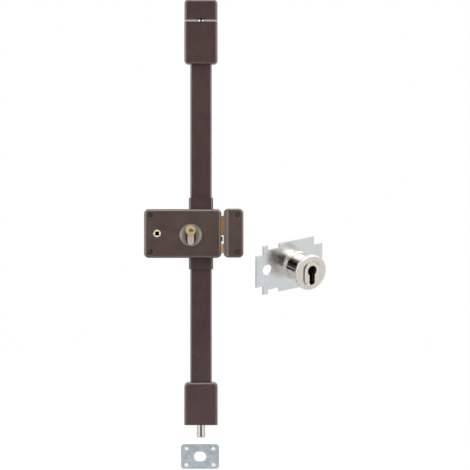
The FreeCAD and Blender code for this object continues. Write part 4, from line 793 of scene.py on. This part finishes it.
# %% Mix the other metals
chrome = chrome_with_painted_reflections("chrome_with_painted_reflections", guard_axis, guard_angles)
nickel = drawn_metal("drawn_nickel", "#dedbcf", "#e9e6db", rough=0.09, stretch=ALONG_PIN)
worn_cast = worn_nickel("worn_cast_nickel", plug_axis, rough=0.46)
# The deadbolt and the latch are the same milled brass. The deadbolt's brass is darker, which is
# painted shade.
brass = drawn_metal("milled_brass_painted_shade", "#cf985f", "#daa76d", rough=0.5, stretch=ALONG_BOLT)
latch_brass = drawn_metal(
    "milled_pale_brass", "#f0cb88", "#f8d898", rough=0.5, stretch=ALONG_BOLT
)
print("finishes:", len(bpy.data.materials))

# %% [markdown]
# Which piece has which finish
#
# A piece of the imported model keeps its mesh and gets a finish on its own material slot. The
# record says what each piece is made of, and this table follows it.

# %% Dress the pieces
FINISHES = {
    "case paint": (case_paint, ("case_cover",)),
    "keep paint": (keep_paint, ("side_keep",)),
    "shaded cover paint": (shaded_cover_paint, (
        "upper_collar", "lower_collar", "upper_rod_cover", "lower_rod_cover",
        "upper_guide_box", "lower_guide_box", "top_keep",
    )),
    "zinc steel": (zinc_steel, (
        "back_plate", "bolt_guide", "cylinder_cam", "cylinder_screw", "drive_gear", "gear_axle",
        "axle_clip", "latch_tail", "latch_rivet", "latch_spring", "deadbolt_rack", "deadbolt_rivet",
        "upper_rod", "lower_rod", "upper_pin_rivet", "lower_pin_rivet", "upper_pin_bearing",
        "lower_pin_bearing",
    )),
    "floor zinc": (floor_zinc, ("floor_plate",)),
    "guard zinc": (guard_zinc, ("guard_plate",)),
    "turned disc": (disc_metal, ("cylinder_disc",)),
    "rose": (rose_metal, ("guard_rose",)),
    "insert": (insert_metal, ("guard_insert",)),
    "chrome with painted reflections": (chrome, ("guard_barrel",)),
    "turned chrome": (ring_chrome, ("guard_ring",)),
    "nickel": (nickel, ("upper_pin", "lower_pin")),
    "worn nickel": (worn_cast, ("cylinder_body",)),
    "plug brass": (plug_brass, ("cylinder_plug",)),
    "follower brass": (follower_brass, ("follower",)),
    "brass": (brass, ("deadbolt",)),
    "pale brass": (latch_brass, ("latch_bolt",)),
}

for kind, (finish, names) in FINISHES.items():
    for name in names:
        slots = nodes[name].data.materials
        slots.clear()
        slots.append(finish)
    print(kind, "on", len(names), "pieces")

# %% [markdown]
# Fine work that repeats
#
# A coil, a thread, a row of pins and a pair of caps are one small thing over and over, which
# is what geometry nodes are for. Each tree has named inputs, so a size is a number to change
# and not a drawing to redo. The tree is worked out once, and its mesh is kept.


# %% A small workshop for geometry trees
def new_tree(name, counts, sizes):
    """A geometry tree whose inputs are named whole numbers and named sizes."""
    tree = bpy.data.node_groups.new(name, "GeometryNodeTree")
    for label in counts:
        tree.interface.new_socket(label, in_out="INPUT", socket_type="NodeSocketInt")
    for label in sizes:
        tree.interface.new_socket(label, in_out="INPUT", socket_type="NodeSocketFloat")
    tree.interface.new_socket("Geometry", in_out="OUTPUT", socket_type="NodeSocketGeometry")
    return tree, tree.nodes.new("NodeGroupInput").outputs


def end_tree(tree, geometry, material):
    """Turn instances into real geometry and give it a material."""
    real = add_node(tree, "GeometryNodeRealizeInstances", links={0: geometry})
    dressed = add_node(
        tree, "GeometryNodeSetMaterial", values={"Material": material},
        links={"Geometry": real.outputs[0]},
    )
    tree.links.new(dressed.outputs[0], tree.nodes.new("NodeGroupOutput").inputs[0])
    return tree


def smooth(tree, geometry):
    return add_node(tree, "GeometryNodeSetShadeSmooth", links={"Geometry": geometry}).outputs[0]


def moved(tree, geometry, turn=(0, 0, 0), scale=(1, 1, 1)):
    return add_node(
        tree, "GeometryNodeTransform", values={"Rotation": turn, "Scale": scale},
        links={"Geometry": geometry},
    ).outputs[0]


def row_of(tree, item, count, step):
    """Copies of an item, a step apart, from the first place on."""
    line = add_node(tree, "GeometryNodeMeshLine", links={"Count": count, "Offset": step})
    return add_node(
        tree, "GeometryNodeInstanceOnPoints", links={"Points": line.outputs[0], "Instance": item}
    ).outputs[0]


def grown(name, tree, place, values):
    """A piece of the lock that a geometry tree draws at a place, with its inputs set."""
    seed = bpy.data.objects.new(name + "_seed", bpy.data.meshes.new(name + "_seed"))
    bpy.context.scene.collection.objects.link(seed)
    growth = seed.modifiers.new("growth", "NODES")
    growth.node_group = tree
    for item in tree.interface.items_tree:
        if item.in_out == "INPUT":
            growth[item.identifier] = values[item.name]
    graph = bpy.context.evaluated_depsgraph_get()
    mesh = bpy.data.meshes.new_from_object(seed.evaluated_get(graph))
    bpy.data.objects.remove(seed)
    mesh.name = name
    mesh.transform(Matrix.Translation(place))
    piece = bpy.data.objects.new(name, mesh)
    bpy.context.scene.collection.objects.link(piece)
    print(name, "has", len(mesh.polygons), "faces")
    return piece


# %% [markdown]
# The latch's spring
#
# The imported model has the spring's wire with flat sides, to stay light. Here it is round. A
# spiral that doesn't widen is a helix, and a circle swept along it is the wire.


# %% Coil
def coil_tree(material):
    """A helix along X from its first end, with a round wire."""
    tree, given = new_tree("coil", ("Turns",), ("Radius", "Length", "Wire"))
    helix = add_node(
        tree, "GeometryNodeCurveSpiral", values={"Resolution": 24},
        links={
            "Rotations": given["Turns"], "Start Radius": given["Radius"],
            "End Radius": given["Radius"], "Height": given["Length"],
        },
    )
    section = add_node(
        tree, "GeometryNodeCurvePrimitiveCircle", values={"Resolution": 10},
        links={"Radius": given["Wire"]},
    )
    wire = add_node(
        tree, "GeometryNodeCurveToMesh", values={"Fill Caps": True},
        links={"Curve": helix.outputs[0], "Profile Curve": section.outputs[0]},
    )
    lying = moved(tree, smooth(tree, wire.outputs[0]), turn=(0, math.radians(90), 0))
    return end_tree(tree, lying, material)


# %% Put the coil on the latch
WIRE_HALF = 0.45 * MM
SPRING_TURNS = 7
spring_low, spring_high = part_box("latch_spring")
spring_middle = (spring_low + spring_high) / 2
spring_long = spring_high.x - spring_low.x - 2 * WIRE_HALF
spring_radius = (spring_high.z - spring_low.z) / 2 - WIRE_HALF
coil = grown(
    "spring_coil", coil_tree(zinc_steel),
    (spring_low.x + WIRE_HALF, spring_middle.y, spring_middle.z),
    {
        "Turns": SPRING_TURNS, "Radius": spring_radius, "Length": spring_long,
        "Wire": WIRE_HALF,
    },
)
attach(coil, "lock")
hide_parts("latch_spring")
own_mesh(coil)

# %% [markdown]
# The cylinder's screw
#
# The long screw has a thread where it goes into the cylinder, at its real pitch of 0.8 mm. It is
# the spring's tree again, with thin wire laid in the shank's surface.

# %% Thread
THREAD_PITCH = 0.8 * MM
THREAD_LONG = 30 * MM
THREAD_START = -11.5 * MM
SCREW_RADIUS = 2.5 * MM
THREAD_RISE = 0.2 * MM
screw_low, screw_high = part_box("cylinder_screw")
screw_middle = (screw_low + screw_high) / 2
thread = grown(
    "screw_thread", coil_tree(zinc_steel), (THREAD_START, screw_middle.y, screw_middle.z),
    {
        "Turns": round(THREAD_LONG / THREAD_PITCH), "Radius": SCREW_RADIUS - THREAD_RISE,
        "Length": THREAD_LONG, "Wire": 2 * THREAD_RISE,
    },
)
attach(thread, "lock")

# %% [markdown]
# The pins at the keyway
#
# Inside the plug, small brass pins stand in a row along the keyway, and a key lifts them. Only
# their round ends could ever be seen, so each is a ball. A line of points gives their places,
# and the tree sets one ball on each.


# %% A row of pin ends
def pin_row_tree(material):
    """Balls in a row along Y, a pitch apart."""
    tree, given = new_tree("pin_row", ("Count",), ("Pitch", "Radius"))
    ball = add_node(
        tree, "GeometryNodeMeshUVSphere", values={"Segments": 16, "Rings": 10},
        links={"Radius": given["Radius"]},
    )
    step = add_node(tree, "ShaderNodeCombineXYZ", links={"Y": given["Pitch"]})
    row = row_of(tree, smooth(tree, ball.outputs[0]), given["Count"], step.outputs[0])
    return end_tree(tree, row, material)


# %% Five pins beside the key
PIN_COUNT = 5
PIN_RIGHT = 3.2 * MM
PIN_DOWN = 1.15 * MM
PIN_IN = 4.0 * MM
PIN_PITCH = 3.6 * MM
PIN_RADIUS = 1.2 * MM
plug_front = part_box("cylinder_plug")[0].y
pins = grown(
    "key_pins", pin_row_tree(plug_brass),
    (plug_axis.x + PIN_RIGHT, plug_front + PIN_IN, plug_axis.z - PIN_DOWN),
    {"Count": PIN_COUNT, "Pitch": PIN_PITCH, "Radius": PIN_RADIUS},
)
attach(pins, "key_plug")

# %% [markdown]
# The caps over the fixing screws
#
# The lock and its keep are screwed on through recesses near their corners, and plastic caps
# close these. A cap is moulded, with a shine that is softer than metal's and next to no
# texture. It is a short cylinder with a low dome on it, and the same tree makes both pairs.


# %% A column of caps
# How high a dome stands, as a part of its radius.
DOME_RISE = 0.45


def cap_row_tree(material):
    """Domed caps that face along -Y, one over the other, a pitch apart."""
    tree, given = new_tree("cap_row", ("Count",), ("Pitch", "Radius", "Depth"))
    rim = add_node(
        tree, "GeometryNodeMeshCylinder", values={"Vertices": 32},
        links={"Radius": given["Radius"], "Depth": given["Depth"]},
    )
    dome = add_node(
        tree, "GeometryNodeMeshUVSphere", values={"Segments": 32, "Rings": 16},
        links={"Radius": given["Radius"]},
    )
    low_dome = moved(tree, smooth(tree, dome.outputs[0]), scale=(1, 1, DOME_RISE))
    half = add_node(
        tree, "ShaderNodeMath", {"operation": "MULTIPLY"}, {1: 0.5}, {0: given["Depth"]}
    )
    lift = add_node(tree, "ShaderNodeCombineXYZ", links={"Z": half.outputs[0]})
    top = add_node(
        tree, "GeometryNodeTransform", links={"Geometry": low_dome, "Translation": lift.outputs[0]}
    )
    cap = add_node(tree, "GeometryNodeJoinGeometry")
    tree.links.new(rim.outputs[0], cap.inputs[0])
    tree.links.new(top.outputs[0], cap.inputs[0])
    facing = moved(tree, cap.outputs[0], turn=(math.radians(90), 0, 0))
    step = add_node(tree, "ShaderNodeCombineXYZ", links={"Z": given["Pitch"]})
    row = row_of(tree, facing, given["Count"], step.outputs[0])
    return end_tree(tree, row, material)


def cap_plastic(name, colour):
    """Moulded polyamide: a soft shine, and a surface that is hardly rough."""
    material, tree, shader = new_finish(
        name, Base_Color=linear(colour), Roughness=0.28, Specular_IOR_Level=0.6
    )
    emboss(tree, shader, noise(tree, place_of(tree), size_mm=1.2), deep_mm=0.003, edge_mm=0.3)
    return material


# %% Two caps on the case and two on the keep
black_plastic = cap_plastic("black_cap_plastic", "#2f2b29")
brown_plastic = cap_plastic("brown_cap_plastic", "#43372f")
CAP_IN = 5.0 * MM
CAP_PITCH = 62.0 * MM
CAP_RADIUS = 4.05 * MM
CAP_DEEP = 5.0 * MM
CAP_COUNT = 2
for name, x, foot, node, plastic in (
    ("left_caps", -84.3, -31.0, "case_cover", black_plastic),
    ("right_caps", 61.3, -30.4, "side_keep", brown_plastic),
):
    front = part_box(node)[0].y
    caps = grown(
        name, cap_row_tree(plastic), (x * MM, front + CAP_IN, foot * MM),
        {"Count": CAP_COUNT, "Pitch": CAP_PITCH, "Radius": CAP_RADIUS, "Depth": CAP_DEEP},
    )
    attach(caps, "lock")

# %% [markdown]
# The view transform
#
# Fine work that stood out past the solids would make the lock larger than it is. The view
# transform is the plain one, with which a colour comes out of the render about as it was written.

# %% Set the view transform
bpy.context.scene.view_settings.view_transform = "Standard"
